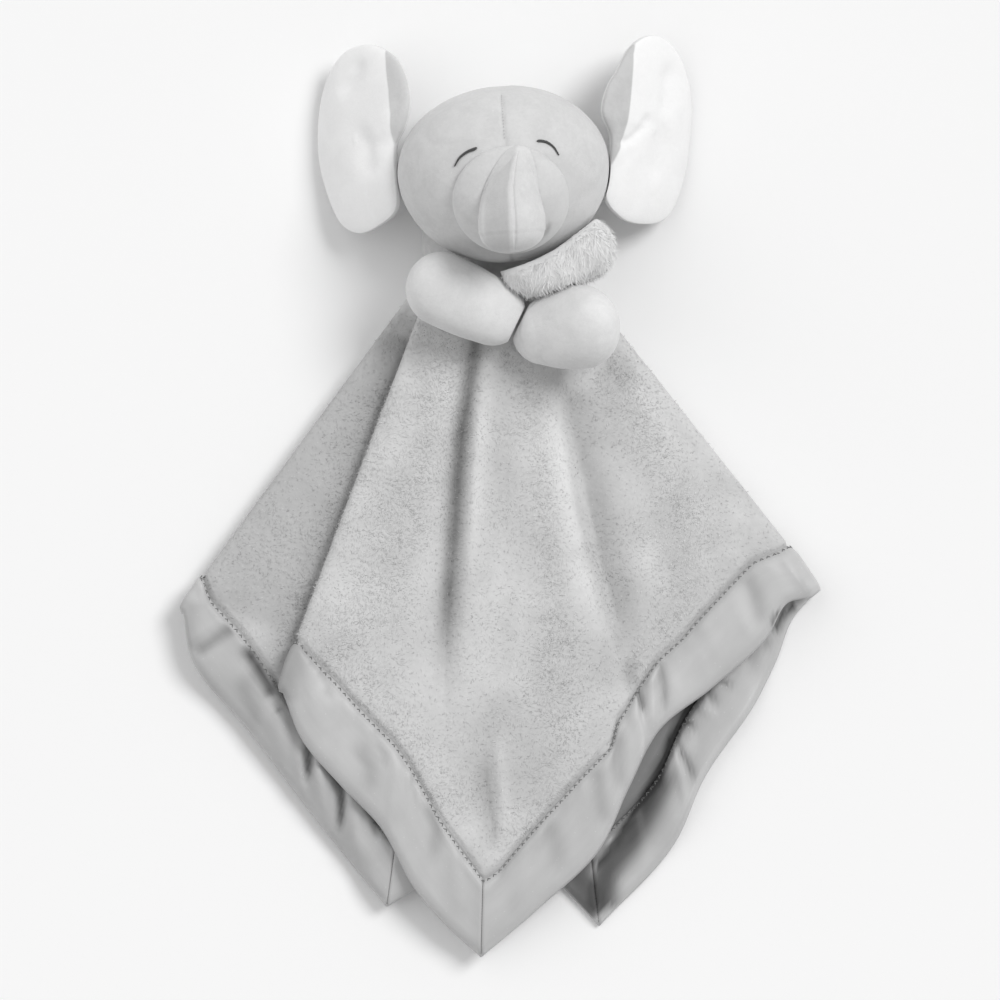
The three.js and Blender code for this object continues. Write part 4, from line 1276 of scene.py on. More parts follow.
# Front panel's folds, drawn on the picture from the arms down
FRONT_CREASES = (
    Crease(
        (
            (479, 300), (477, 351), (467.5, 387), (459.5, 441), (454, 508), (451, 561), (446, 628),
            (443, 698), (446, 780),
        ),
        1.5, 2.4, 2.8, 0.03, 0.3,
    ),
    Crease(
        ((448, 350), (440, 400), (430, 480), (422, 560), (412, 640), (410, 720)), -3.0, 15.0, 6.0, 0.3, 0.35,
    ),
    Crease(
        ((489, 352), (481, 400), (475, 480), (471, 560), (466, 640), (464, 730)), -3.4, 4.6, 8.0, 0.2, 0.35,
    ),
    Crease(((499, 380), (502, 454), (506, 540), (508, 620)), 1.0, 6.0, 6.0, 0.3, 0.4),
    Crease(
        ((545, 356), (554, 392), (563, 450), (573, 521), (587, 570), (602, 620), (616, 660), (622, 690)),
        -3.9, 16.0, 3.4, 0.15, 0.14,
    ),
    Crease(
        ((566, 376), (576, 440), (587, 494), (604, 575), (620, 628), (629, 668)), 1.3, 4.0, 8.5, 0.15, 0.1,
    ),
    Crease(((622, 360), (648, 420), (668, 480), (684, 545), (690, 590)), -2.6, 13.0, 13.0, 0.3, 0.3),
    Crease(((631, 650), (630, 675), (633, 700)), 1.6, 3.4, 4.2, 0.3, 0.3),
    Crease(((482, 740), (487, 790), (497, 848)), 1.5, 4.5, 1.8, 0.35, 0.2),
    Crease(((496, 725), (501, 780), (507, 838)), -1.6, 2.4, 5.5, 0.3, 0.3),
    Crease(((356, 560), (352, 620), (372, 680)), -1.0, 11.0, 11.0, 0.4, 0.4),
    Crease(((560, 700), (552, 760), (528, 810)), -1.1, 12.0, 10.0, 0.4, 0.4),
)
FOLD_PUFF = Crease(((424, 330), (380, 432), (340, 535), (296, 650), (284, 690)), -1.8, 9.0, 9.0, 0.15, 0.1)
LEFT_DROOP = Crease(((190, 660), (240, 735), (308, 820), (372, 900)), 4.2, 10.0, 11.0, 0.2, 0.15, 2.0)
RIGHT_CURL = Crease(
    ((772, 668), (745, 725), (712, 775), (684, 822), (662, 868)), -5.5, 9.0, 12.0, 0.3, 0.3, 2.0,
)

# Stitch lines along the binding's inner edge
FRONT_STITCHES = (
    (296, 636), (299, 643.5), (317, 663), (339.6, 685.6), (356.5, 705), (373, 722), (393, 741.8), (407, 761),
    (421, 785), (440.7, 820), (460, 848), (484, 881), (501, 868.8), (529, 835), (553.5, 807.5), (581, 777),
    (611.6, 746), (617.8, 721.8), (637.6, 691), (657.5, 660.6), (685, 636), (700, 617.8), (734, 581),
    (752.4, 562.6), (778.5, 552), (790, 550),
)
LEFT_STITCHES = (
    (200, 578), (203.5, 584.6), (210.5, 601.4), (233, 625), (252.6, 649), (276.5, 685.6), (310, 735),
    (345, 785), (362, 800), (378, 826),
)

# Painted shade on the plush in its valleys, in the front fold's shadow on the left panel and over the lower
# left panel, or painted light along the ridges where the number is negative
FRONT_SHADES = (
    Crease(
        ((479, 330), (468, 387), (460, 441), (455, 508), (451, 560), (445, 628), (442, 705)), 1.65, 4.2, 4.2,
        0.02, 0.35,
    ),
    Crease(((482, 390), (476, 480), (470, 580)), -0.3, 1.6, 4.0, 0.2, 0.4),
    Crease(((496, 400), (499, 460), (503, 540)), 0.35, 5.0, 7.0, 0.2, 0.4),
    Crease(((550, 385), (568, 500), (592, 600), (612, 655)), -0.5, 10.0, 2.5, 0.2, 0.2),
    Crease(
        ((567, 380), (578, 440), (590, 494), (607, 570), (622, 625), (630, 665)), 0.75, 2.2, 10.5, 0.08, 0.2,
    ),
    Crease(((600, 360), (622, 372), (640, 392)), 0.5, 7.0, 7.0, 0.2, 0.4),
    Crease(((631, 655), (630, 674), (633, 692)), 0.8, 2.6, 3.2, 0.3, 0.3),
    Crease(((483, 745), (488, 795), (498, 850)), 0.6, 6.0, 1.6, 0.3, 0.15),
    Crease(((497, 725), (502, 785), (508, 835)), -0.45, 1.8, 3.2, 0.3, 0.3),
    Crease(((640, 470), (650, 540), (640, 600)), -0.25, 5.0, 10.0, 0.3, 0.3),
    Crease(((505, 680), (498, 760), (490, 830)), 0.36, 24.0, 22.0, 0.3, 0.3),
)
LEFT_SHADES = (
    Crease(((418, 340), (372, 445), (332, 548), (292, 655), (284, 690)), 0.95, 11.0, 20.0, 0.02, 0.05),
    Crease(((400, 300), (300, 450), (230, 620)), 0.55, 26.0, 24.0, 0.05, 0.05, 4.0),
)

# Where the pile is ruffled, with the half width of each strip
RUFFLED = (
    (((505, 340), (529, 380), (540, 450), (548, 540), (556, 620), (562, 660)), 7.0),
    (((440, 350), (428, 430), (400, 520), (370, 600), (345, 650), (385, 720), (435, 790)), 13.0),
    (((600, 350), (640, 400), (665, 460), (692, 520), (690, 600), (650, 660)), 9.0),
    (((545, 660), (562, 720), (552, 790), (520, 840)), 11.0),
    (((392, 400), (340, 520), (285, 640)), 6.0),
)

# Seam and front hem at the lower right, drawn downwards
LOWER_SEAM = (
    (716, 676), (700, 694), (690.5, 708), (680.7, 727), (672, 742), (666.7, 759), (655, 781), (641, 806),
    (627, 827), (616, 843), (605, 857), (596, 868),
)

# Creases of the satin on whichever face is up, and the painted shade where its folds lie deep
SATIN_CREASES = {
    Panel.LEFT: (
        Crease(((309, 742), (308.5, 760), (306, 788)), 2.9, 1.6, 1.9, 0.04, 0.45),
        Crease(((322, 757), (335, 774), (342, 792), (341, 815), (338, 840)), 3.0, 2.0, 1.5, 0.05, 0.3),
        Crease(((240, 642), (254, 668), (272, 700)), 2.0, 3.4, 3.0, 0.3, 0.15),
        Crease(((299, 745), (299, 770), (303, 800)), -1.4, 2.4, 2.0, 0.2, 0.3),
        Crease(((316, 758), (320, 790), (325, 828)), -1.9, 2.2, 2.6, 0.2, 0.4),
        Crease(((353, 800), (355, 840), (362, 872)), -1.5, 3.0, 3.0, 0.3, 0.4),
        Crease(((234, 628), (214, 642), (195, 655)), 1.2, 3.0, 2.4, 0.15, 0.1),
        Crease(((262, 700), (280, 735), (292, 768)), -1.2, 4.0, 3.0, 0.3, 0.3),
        Crease(((236, 672), (248, 705), (262, 735)), 0.8, 4.0, 4.0, 0.3, 0.3),
        Crease(((366, 806), (374, 820), (378, 842)), 1.6, 1.8, 1.8, 0.2, 0.3),
    ),
    Panel.FRONT: (
        Crease(((302, 650), (309, 690), (330, 730)), -1.2, 3.5, 5.0, 0.3, 0.4),
        Crease(((318, 668), (328, 684), (332, 706)), 0.8, 2.0, 2.0, 0.1, 0.4),
        Crease(((350, 740), (368, 765), (372, 800)), 0.9, 3.0, 3.5, 0.3, 0.3),
        Crease(((372, 728), (384, 752), (388, 780)), 0.7, 1.8, 1.8, 0.1, 0.4),
        Crease(((396, 752), (400, 790), (394, 830)), -0.9, 4.0, 4.0, 0.3, 0.3),
        Crease(((426, 800), (436, 830), (432, 870)), 1.0, 3.0, 3.0, 0.2, 0.3),
        Crease(((452, 846), (456, 880), (462, 915)), -0.9, 3.5, 3.5, 0.2, 0.2),
        Crease(((637, 690), (641, 700), (644, 716)), 2.4, 1.5, 1.5, 0.1, 0.4),
        Crease(((649, 664), (652, 695), (655, 738)), -1.7, 2.2, 1.7, 0.2, 0.3),
        Crease(((659, 660), (664, 690), (664, 722)), 1.5, 1.7, 1.7, 0.1, 0.4),
        Crease(((628, 706), (640, 732), (640, 775)), -1.5, 3.0, 3.0, 0.2, 0.3),
        Crease(((620, 730), (616, 764), (620, 800)), 1.0, 3.4, 3.4, 0.2, 0.3),
        Crease(((596, 764), (598, 800), (606, 832)), 0.9, 4.0, 4.0, 0.2, 0.3),
        Crease(((548, 818), (556, 846), (556, 878)), 0.7, 4.0, 4.0, 0.2, 0.3),
        Crease(((520, 852), (522, 884), (516, 915)), -0.8, 4.0, 4.0, 0.2, 0.3),
        Crease(((700, 620), (712, 644), (716, 668)), -0.7, 5.0, 5.0, 0.2, 0.3),
        Crease(((745, 572), (756, 600), (762, 630)), 0.9, 4.0, 4.0, 0.2, 0.3),
        Crease(((781, 552), (796, 575), (806, 592)), -1.2, 3.4, 3.0, 0.2, 0.2),
    ),
    Panel.BOTTOM: (
        Crease(((716, 679), (726, 684), (736, 684)), 1.5, 1.2, 1.2, 0.05, 0.5),
        Crease(((707, 690), (716, 702), (717, 712)), 1.4, 1.2, 1.2, 0.05, 0.5),
        Crease(((697, 702), (708, 712), (722, 712)), -1.2, 1.6, 1.6, 0.1, 0.5),
        Crease(((684, 722), (692, 726), (700, 730)), 1.7, 1.2, 1.2, 0.05, 0.5),
        Crease(((676, 745), (686, 762), (698, 785)), 1.7, 1.5, 1.5, 0.05, 0.4),
        Crease(((671, 752), (686, 748), (696, 738)), -1.2, 2.2, 2.2, 0.1, 0.4),
    ),
}
SATIN_SHADES = {
    Panel.LEFT: (
        Crease(
            ((243, 640), (252, 655), (262, 670), (270, 684), (275, 700), (280, 716)), 0.42, 2.0, 2.6, 0.25,
            0.1,
        ),
        Crease(((276, 706), (288, 722), (300, 736), (310, 748)), 0.3, 2.6, 3.0, 0.1, 0.2),
        Crease(((196, 668), (214, 702), (236, 732), (268, 776)), 0.2, 4.0, 3.0, 0.3, 0.3),
        Crease(((192, 600), (188, 628), (190, 655)), 0.16, 5.0, 6.0, 0.1, 0.2),
        Crease(((330, 820), (345, 850), (384, 905)), 0.12, 8.0, 8.0, 0.3, 0.1),
        Crease(((362, 800), (374, 814), (380, 836)), 0.4, 1.3, 1.3, 0.2, 0.4),
        Crease(((200, 630), (262, 720), (352, 850)), 0.08, 14.0, 14.0, 0.02, 0.1),
    ),
    Panel.FRONT: (
        Crease(((296, 640), (287, 668), (281, 690), (283, 708)), 0.3, 3.0, 7.0, 0.1, 0.2),
        Crease(((822, 600), (804, 606), (787, 606), (774, 618), (771, 630)), 0.85, 0.9, 0.9, 0.05, 0.15),
        Crease(((806, 572), (812, 585), (816, 596)), 0.14, 5.0, 4.0, 0.2, 0.2),
        Crease(((496, 878), (530, 850), (560, 822)), 0.12, 3.0, 5.0, 0.2, 0.3),
    ),
    Panel.BOTTOM: (
        Crease(LOWER_SEAM, 0.72, 1.6, 1.5, 0.08, 0.02),
        Crease(((714, 684), (696, 706), (684, 728), (676, 748)), 0.24, 2.0, 4.5, 0.2, 0.2),
        Crease(
            ((672, 752), (662, 778), (648, 806), (634, 834), (618, 856), (604, 876), (602, 914)), 0.86, 5.0,
            7.6, 0.2, 0.06, 3.0,
        ),
        Crease(((589, 854), (582, 872), (588, 890), (600, 920)), 0.8, 12.0, 4.0, 0.02, 0.1, 3.0),
        Crease(((797, 604), (786, 612), (778, 622), (775, 634)), 0.85, 1.8, 2.6, 0.1, 0.15),
        Crease(((776, 640), (760, 646), (742, 660)), 0.25, 2.0, 3.0, 0.2, 0.2),
    ),
}
# Painted shade on the lining beside the lower seam and under the folds
LINING_SHADES = {
    Panel.BOTTOM: (
        Crease(LOWER_SEAM, 0.8, 2.6, 4.0, 0.06, 0.02),
        Crease(
            ((706, 690), (680, 715), (655, 750), (635, 790), (610, 830), (585, 860)), 0.34, 12.0, 12.0, 0.1,
            0.02,
        ),
    ),
    Panel.FOURTH: (Crease(((640, 600), (640, 800), (600, 900)), 0.5, 60.0, 60.0, 0.1, 0.02),),
}
# Painted shadow of the trunk's lower end on the muzzle patch
MUZZLE_SHADE = Crease(((551, 222), (546, 234), (534, 246), (520, 253), (506, 255)), 0.36, 0.9, 1.1, 0.15, 0.2)


@dataclass
class Blanket:
    """The folded blanket: plush, lining, four strips of satin, stitches, pile and the gathered neck."""

    cloth: FoldedCloth
    plush_thickness: float = 2.0
    lining_thickness: float = 0.6
    half_bound: float = 0.7475
    satin_gap: float = 0.2
    satin_thickness: float = 0.35
    satin_rows: Row = (
        0.88, 0.884, 0.888, 0.894, 0.902, 0.912, 0.924, 0.938, 0.952, 0.966, 0.978, 0.988, 0.995,
    )
    satin_swell: float = 1.7
    crease_share: float = 1.25
    mitre_gap: float = 0.12
    stitch_pitch: float = 1.6
    zigzag_stitch: Row = (2.9, 0.46, 0.85)
    mitre_pitch: float = 1.25
    mitre_stitch: Row = (1.35, 0.42, 0.0)
    stitch_share: float = 0.893
    ray_length: float = 250.0
    pile_per_square_metre: float = 1700000.0

    def grid_shell(self, outer: Points, inner: Points) -> tuple[Points, Faces]:
        """Closes two grids into a shell that runs right round the hem.

        Args:
            outer: grid on the plush side.
            inner: grid on the lining side.

        Returns:
            Points and faces.
        """
        columns, rows = outer.shape[:2]
        points = np.vstack([outer.reshape(-1, 3), inner.reshape(-1, 3)])
        size = columns * rows
        faces: Faces = []
        for i in range(columns):
            here, there = i * rows, (i + 1) % columns * rows
            for k in range(rows - 1):
                faces.append((here + k, there + k, there + k + 1, here + k + 1))
                faces.append((size + here + k, size + here + k + 1, size + there + k + 1, size + there + k))
            faces.append((size + here, size + there, there, here))
            last = rows - 1
            faces.append((here + last, there + last, size + there + last, size + here + last))
        return points, faces

    def cloth_map(self, copies: int) -> Points:
        """UV of the sheet's points: metres round the hem and metres down the ray."""
        round_hem = self.cloth.hem_length()[:, None] * MM
        down = self.cloth.shares[None, :] * (self.ray_length * MM)
        grid = np.stack(np.broadcast_arrays(round_hem, down), axis=2).reshape(-1, 2)
        return np.vstack([grid] * copies)

    def sheet_offsets(self, loose: Row, bound: Row) -> tuple[Points, Points]:
        """Outer and inner grids of one sheet from its offsets on loose and bound rows."""
        grids = []
        for free, held in zip(loose, bound):
            offset = self.cloth.thickness(free, held)[None, :, None]
            grids.append(self.cloth.middle + self.cloth.normals * offset)
        return grids[0], grids[1]

    def plush(self, finish: Material) -> Piece:
        """Makes the plush sheet."""
        half, bound = self.cloth.half_stack, self.half_bound
        outer, inner = self.sheet_offsets((half, half - self.plush_thickness), (bound, bound - 0.9))
        points, faces = self.grid_shell(outer, inner)
        # the plush carries its nap tone with painted shade and painted light
        values = {"nap_and_painted_light": np.tile(self.cloth.nap_and_painted_light(outer).ravel(), 2)}
        made = mesh_object("plush_cloth", points, faces, finish, uv=self.cloth_map(2), values=values)
        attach(made, "blanket")
        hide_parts("blanket_plush")
        return made

    def lining(self, finish: Material) -> Piece:
        """Makes the lining sheet."""
        half = self.cloth.half_stack
        outer, inner = self.sheet_offsets((self.lining_thickness - half, -half), (-0.3525, -self.half_bound))
        points, faces = self.grid_shell(outer, inner)
        # painted shade beside the lower seam and under the folds
        shade = np.clip(self.cloth.drawn(self.cloth.middle, LINING_SHADES), 0, 0.97)
        values = {"shade": np.tile(shade.ravel(), 2)}
        made = mesh_object("lining_cloth", points, faces, finish, uv=self.cloth_map(2), values=values)
        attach(made, "blanket")
        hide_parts("blanket_lining")
        return made

    def section(self) -> tuple[Points, Points]:
        """Ray shares and offsets of the binding's section: out on the plush side, back on the lining's."""
        top = np.array(self.satin_rows)
        outer = self.half_bound + self.satin_gap + self.satin_thickness
        shares = np.concatenate([top, [1.0], top[::-1]])
        height = np.where(top > 0.97, np.sqrt(np.maximum(0.0, 1 - ((top - 0.97) / 0.0305) ** 2)), 1.0)
        offsets = np.concatenate([height * outer, [0.0], -height[::-1] * outer])
        return shares, offsets

    def rim_normals(self) -> Points:
        """Normal of the cloth beside the binding's stitches, at each column."""
        return self.cloth.surface_normals(self.cloth.surface_at(np.linspace(0.86, 1.0, 15)))[:, 1]

    def satin_grids(self) -> tuple[Points, Points, Points]:
        """Outer and inner grid of the satin right round the hem, and the painted shade at each of their
        points.
        """
        cloth = self.cloth
        shares, offsets = self.section()
        middle = cloth.surface_at(shares)
        normals = self.rim_normals()[:, None]
        pucker = self.puckers(cloth.hem_length(), shares)
        flat = np.sign(offsets)[None, :, None] * normals
        facing_up = np.clip(flat[:, :, 2] * 3 - 1, 0, 1)
        sink = cloth.drawn(middle, SATIN_CREASES)
        body = ease((shares - 0.882) / 0.01) * ease((1.0 - shares) / 0.012)
        swell = (self.satin_swell - self.crease_share * sink) * facing_up * body[None, :]
        near_stitches = np.exp(-(((shares - self.stitch_share) / 0.012) ** 2))[None, :]
        # painted shade between the puckers next to the stitches, and in the creases by their depth
        pucker_shade = np.maximum(0.16 * (1 - pucker / 1.2) * near_stitches, 0)
        shade = np.clip(cloth.drawn(middle, SATIN_SHADES) + 0.26 * np.maximum(sink, 0) + pucker_shade, 0, 0.92)
        outer = middle + normals * offsets[None, :, None] + flat * np.maximum(pucker + swell, 0.0)[:, :, None]
        inner = outer - normals * (offsets / np.abs(offsets).max() * self.satin_thickness)[None, :, None]
        half = len(shares) // 2
        inset = unit(middle[:, :1] - middle[:, half : half + 1]) * self.satin_thickness
        return outer, inner + (shares > 0.97)[None, :, None] * inset, shade * (facing_up > 0)

    def strip(self, side: str, grids: tuple[Points, ...], ends: tuple[int, int], finish: Material) -> Piece:
        """Makes one strip of the binding, from one corner's column to the next one's.

        Args:
            side: which strip it is.
            grids: outer grid, inner grid and shade of the whole binding.
            ends: columns of the corners where it starts and ends.
            finish: its material.

        Returns:
            The strip.
        """
        first, last = ends
        count = len(self.cloth.table)
        picked = (first + np.arange((last - first) % count + 1)) % count
        outer, inner, shade = (grid[picked] for grid in grids)
        for end, beside in ((0, 1), (-1, -2)):
            reach = np.linalg.norm(outer[beside] - outer[end], axis=1)
            gap = np.minimum(self.mitre_gap / np.maximum(reach, 0.3), 0.4)[:, None]
            outer[end] += (outer[beside] - outer[end]) * gap
            inner[end] += (inner[beside] - inner[end]) * gap
        ring = np.concatenate([outer, inner[:, ::-1]], axis=1)
        around = ring.shape[1]
        points = ring.reshape(-1, 3)
        faces: Faces = []
        for here in range(0, len(points) - around, around):
            there = here + around
            for k in range(around):
                after = (k + 1) % around
                faces.append((here + k, there + k, there + after, here + after))
        for base, turned in ((0, False), (len(points) - around, True)):
            for k in range(around // 2 - 1):
                quad = (base + k, base + k + 1, base + around - 2 - k, base + around - 1 - k)
                faces.append(tuple(reversed(quad)) if turned else quad)
        shares, round_hem = self.section()[0], self.cloth.hem_length()
        down = np.cumsum(np.concatenate([[0.0], np.abs(np.diff(shares))]))
        across = np.concatenate([down, down]) * (self.ray_length * MM)
        along = np.where(picked < first, round_hem[picked] + round_hem[-1], round_hem[picked])
        along = np.repeat(along[:, None], around, axis=1) * MM
        uv = np.stack([along, np.broadcast_to(across, along.shape)], axis=2).reshape(-1, 2)
        values = {"shade": np.concatenate([shade, shade * 0], axis=1).ravel()}
        made = mesh_object("satin_" + side, points, facing_out(points, faces), finish, uv=uv, values=values)
        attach(made, "blanket")
        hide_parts("binding_" + side)
        return made

    def puckers(self, round_hem: Points, shares: Points) -> Points:
        """How far the satin stands off: tight puckers at the stitches, and broad soft waves."""
        places = np.broadcast_arrays(round_hem[:, None], shares[None, :] * self.ray_length, 0.0)
        grid = np.stack(places, axis=2).reshape(-1, 3)
        tight = 0.5 + 0.5 * lattice_noise(grid * [1, 0.25, 1], 5.0, 21)
        broad = 0.5 + 0.5 * lattice_noise(grid * [1, 0.5, 1], 22.0, 22)
        middle = 0.5 + 0.5 * lattice_noise(grid * [1, 0.6, 1], 9.0, 23)
        shape = (len(round_hem), len(shares))
        near = np.exp(-(((shares - self.stitch_share) / 0.018) ** 2))[None, :]
        edge = ease((shares - 0.8805) / 0.008)[None, :]
        body = np.sin(np.pi * np.clip((shares - 0.88) / 0.118, 0, 1))[None, :]
        tight, broad, middle = (noise.reshape(shape) for noise in (tight, broad, middle))
        waves = (2.6 * body + 0.2 * near) * broad**2 + 1.2 * body * middle**3
        return edge * (tight**2 * near * 1.5 + waves)

    def bindings(self, finish: Material) -> list[Piece]:
        """Makes the four strips of the binding."""
        grids = self.satin_grids()
        corners = self.cloth.corner_columns
        sides = ("front_left", "left_back", "back_right", "right_front")
        ends = zip(corners, [*corners[1:], corners[0]])
        return [self.strip(side, grids, pair, finish) for side, pair in zip(sides, ends)]

    def stitching(self, thread: Material) -> list[Piece]:
        """Sews the zigzag along the binding's inner edge, on both faces, and each mitred corner's seam."""
        cloth = self.cloth
        shares = np.array([0.872, 0.8845, 0.892])
        middle = cloth.surface_at(shares)
        pucker = self.puckers(cloth.hem_length(), shares)
        normals = self.rim_normals()
        sewn = []
        outer = self.half_bound + self.satin_gap + self.satin_thickness
        for label, side in (("plush_side", 1), ("lining_side", -1)):
            line = middle[:, 1] + normals * (outer + 0.30 + pucker[:, 1:2] * 0.8) * side
            ring = np.vstack([line, line[:1]])
            facing = np.vstack([normals, normals[:1]]) * side
            pitch, size = self.stitch_pitch, self.zigzag_stitch
            sewn.append(seam_stitches(f"zigzag_{label}", ring, facing, pitch, thread, size))
        for corner, column in zip(("front", "left", "back", "right"), cloth.corner_columns):
            spots = cloth.surface_at(np.linspace(0.885, 0.994, 30))[column]
            facing = np.broadcast_to(normals[column], spots.shape)
            lifted = spots + facing * (outer + 0.05)
            pitch, size = self.mitre_pitch, self.mitre_stitch
            sewn.append(seam_stitches(f"mitre_seam_{corner}", lifted, facing, pitch, thread, size))
        for made in sewn:
            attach(made, "blanket")
        return sewn

    def pile(self, finish: Material, above: list[Piece]) -> list[Piece]:
        """Grows the pile on the plush that shows from above.

        Args:
            finish: the pile's material.
            above: pieces that lie on the blanket, under which no pile is grown.

        Returns:
            One piece of pile for each panel that shows.
        """
        cloth = self.cloth
        offset = cloth.thickness(cloth.half_stack, self.half_bound)
        outer = cloth.middle + cloth.normals * offset[None, :, None]
        columns, rows = outer.shape[:2]
        # tone holds the nap's random tone with the painted shade and painted light of the folds
        tone, loose = cloth.nap_and_painted_light(outer).ravel(), cloth.ruffle(outer).ravel()
        upward = cloth.normals[:, :, 2].ravel()
        everything = [tuple(p) for p in outer.reshape(-1, 3)]
        quads: Faces = []
        owner: list[Panel | None] = []
        for i in range(columns):
            here, there = i * rows, (i + 1) % columns * rows
            for k in range(rows - cloth.bound_rows + 1):
                quads.append((here + k, there + k, there + k + 1, here + k + 1))
                owner.append(cloth.panel_of[i])
        own = BVHTree.FromPolygons(everything, quads)
        others = [BVHTree.FromObject(o, bpy.context.evaluated_depsgraph_get()) for o in above]
        up = Vector((0, 0, 1))
        grown_pieces = []
        for panel, name in ((Panel.FRONT, "pile_front"), (Panel.LEFT, "pile_left")):
            kept: Faces = []
            for quad, panel_here in zip(quads, owner):
                if panel_here is not panel and (panel_here is not None or panel is not Panel.FRONT):
                    continue
                if upward[quad[0]] < 0.15:
                    continue
                middle = Vector(np.mean([everything[k] for k in quad], axis=0))
                if own.ray_cast(middle + up * 1.2, up)[0] is not None:
                    continue
                if any(tree.ray_cast(middle * MM - up * 0.002, up)[0] is not None for tree in others):
                    continue
                kept.append(quad)
            used = sorted({k for quad in kept for k in quad})
            number = {k: i for i, k in enumerate(used)}
            spots = np.array([everything[k] for k in used])
            faces = [tuple(number[k] for k in quad) for quad in kept]
            marks = {"nap_and_painted_light": tone[used], "ruffle": loose[used]}
            carrier = mesh_object(name + "_carrier", spots, faces, finish, values=marks)
            values = {
                "Tufts per Square Metre": self.pile_per_square_metre,
                "Length": 0.0013,
                "Width": 0.0005,
                "Lean": 3.6,
                "Swirl Size": 0.009,
                "Seed": 3,
                "Finish": finish,
            }
            made = grown(carrier, PILE, values, name)
            log.info("%s: %d triangles", name, len(made.data.polygons))
            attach(made, "blanket")
            grown_pieces.append(made)
        return grown_pieces

    def neck(self, finish: Material) -> Piece:
        """Makes the gathered neck between the head and the cloth."""
        around, along = 220, 26
        half_width, low, high = 35.0, 0.6, 24.5
        middle, start, length = NECK_CENTRE[0], 97.3, 24.0
        angle = ring_angles(around)
        pleats = 0.035 * (0.5 + 0.5 * np.sin(angle * 34 + 1.5 * np.sin(3 * angle)))
        rings = []
        for share in np.linspace(0.0, 1.0, along):
            gather = 1 - pleats * math.sin(math.pi * min(share * 1.4, 1.0))
            x = middle + half_width * gather * np.cos(angle)
            z = (low + high) / 2 + (high - low) / 2 * gather * np.sin(angle)
            rings.append(np.column_stack([x, np.full(around, start + length * share), z]))
        first, last = (ring * [0.5, 1, 0.5] + [middle / 2, 0, 6.3] for ring in (rings[0], rings[-1]))
        poles = [np.array([middle, y, 12.5]) for y in (start, start + length)]
        points, faces = ring_solid([first, *rings, last], *poles)
        local = HEAD.into(points)
        radius = np.hypot(local[:, 0], local[:, 2])
        height = HEAD.height(local[:, 1]) + 0.5
        limit = -height * np.sqrt(np.maximum(0.0, 1 - (radius / (HEAD.half_width + 0.5)) ** 2))
        local[:, 1] = np.where(radius < HEAD.half_width, np.minimum(local[:, 1], limit), local[:, 1])
        points = HEAD.out_of(local)
        made = mesh_object("gathered_neck", points, faces, finish)
        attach(made, "blanket")
        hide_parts("neck_core")
        return made


# Stuffed pieces


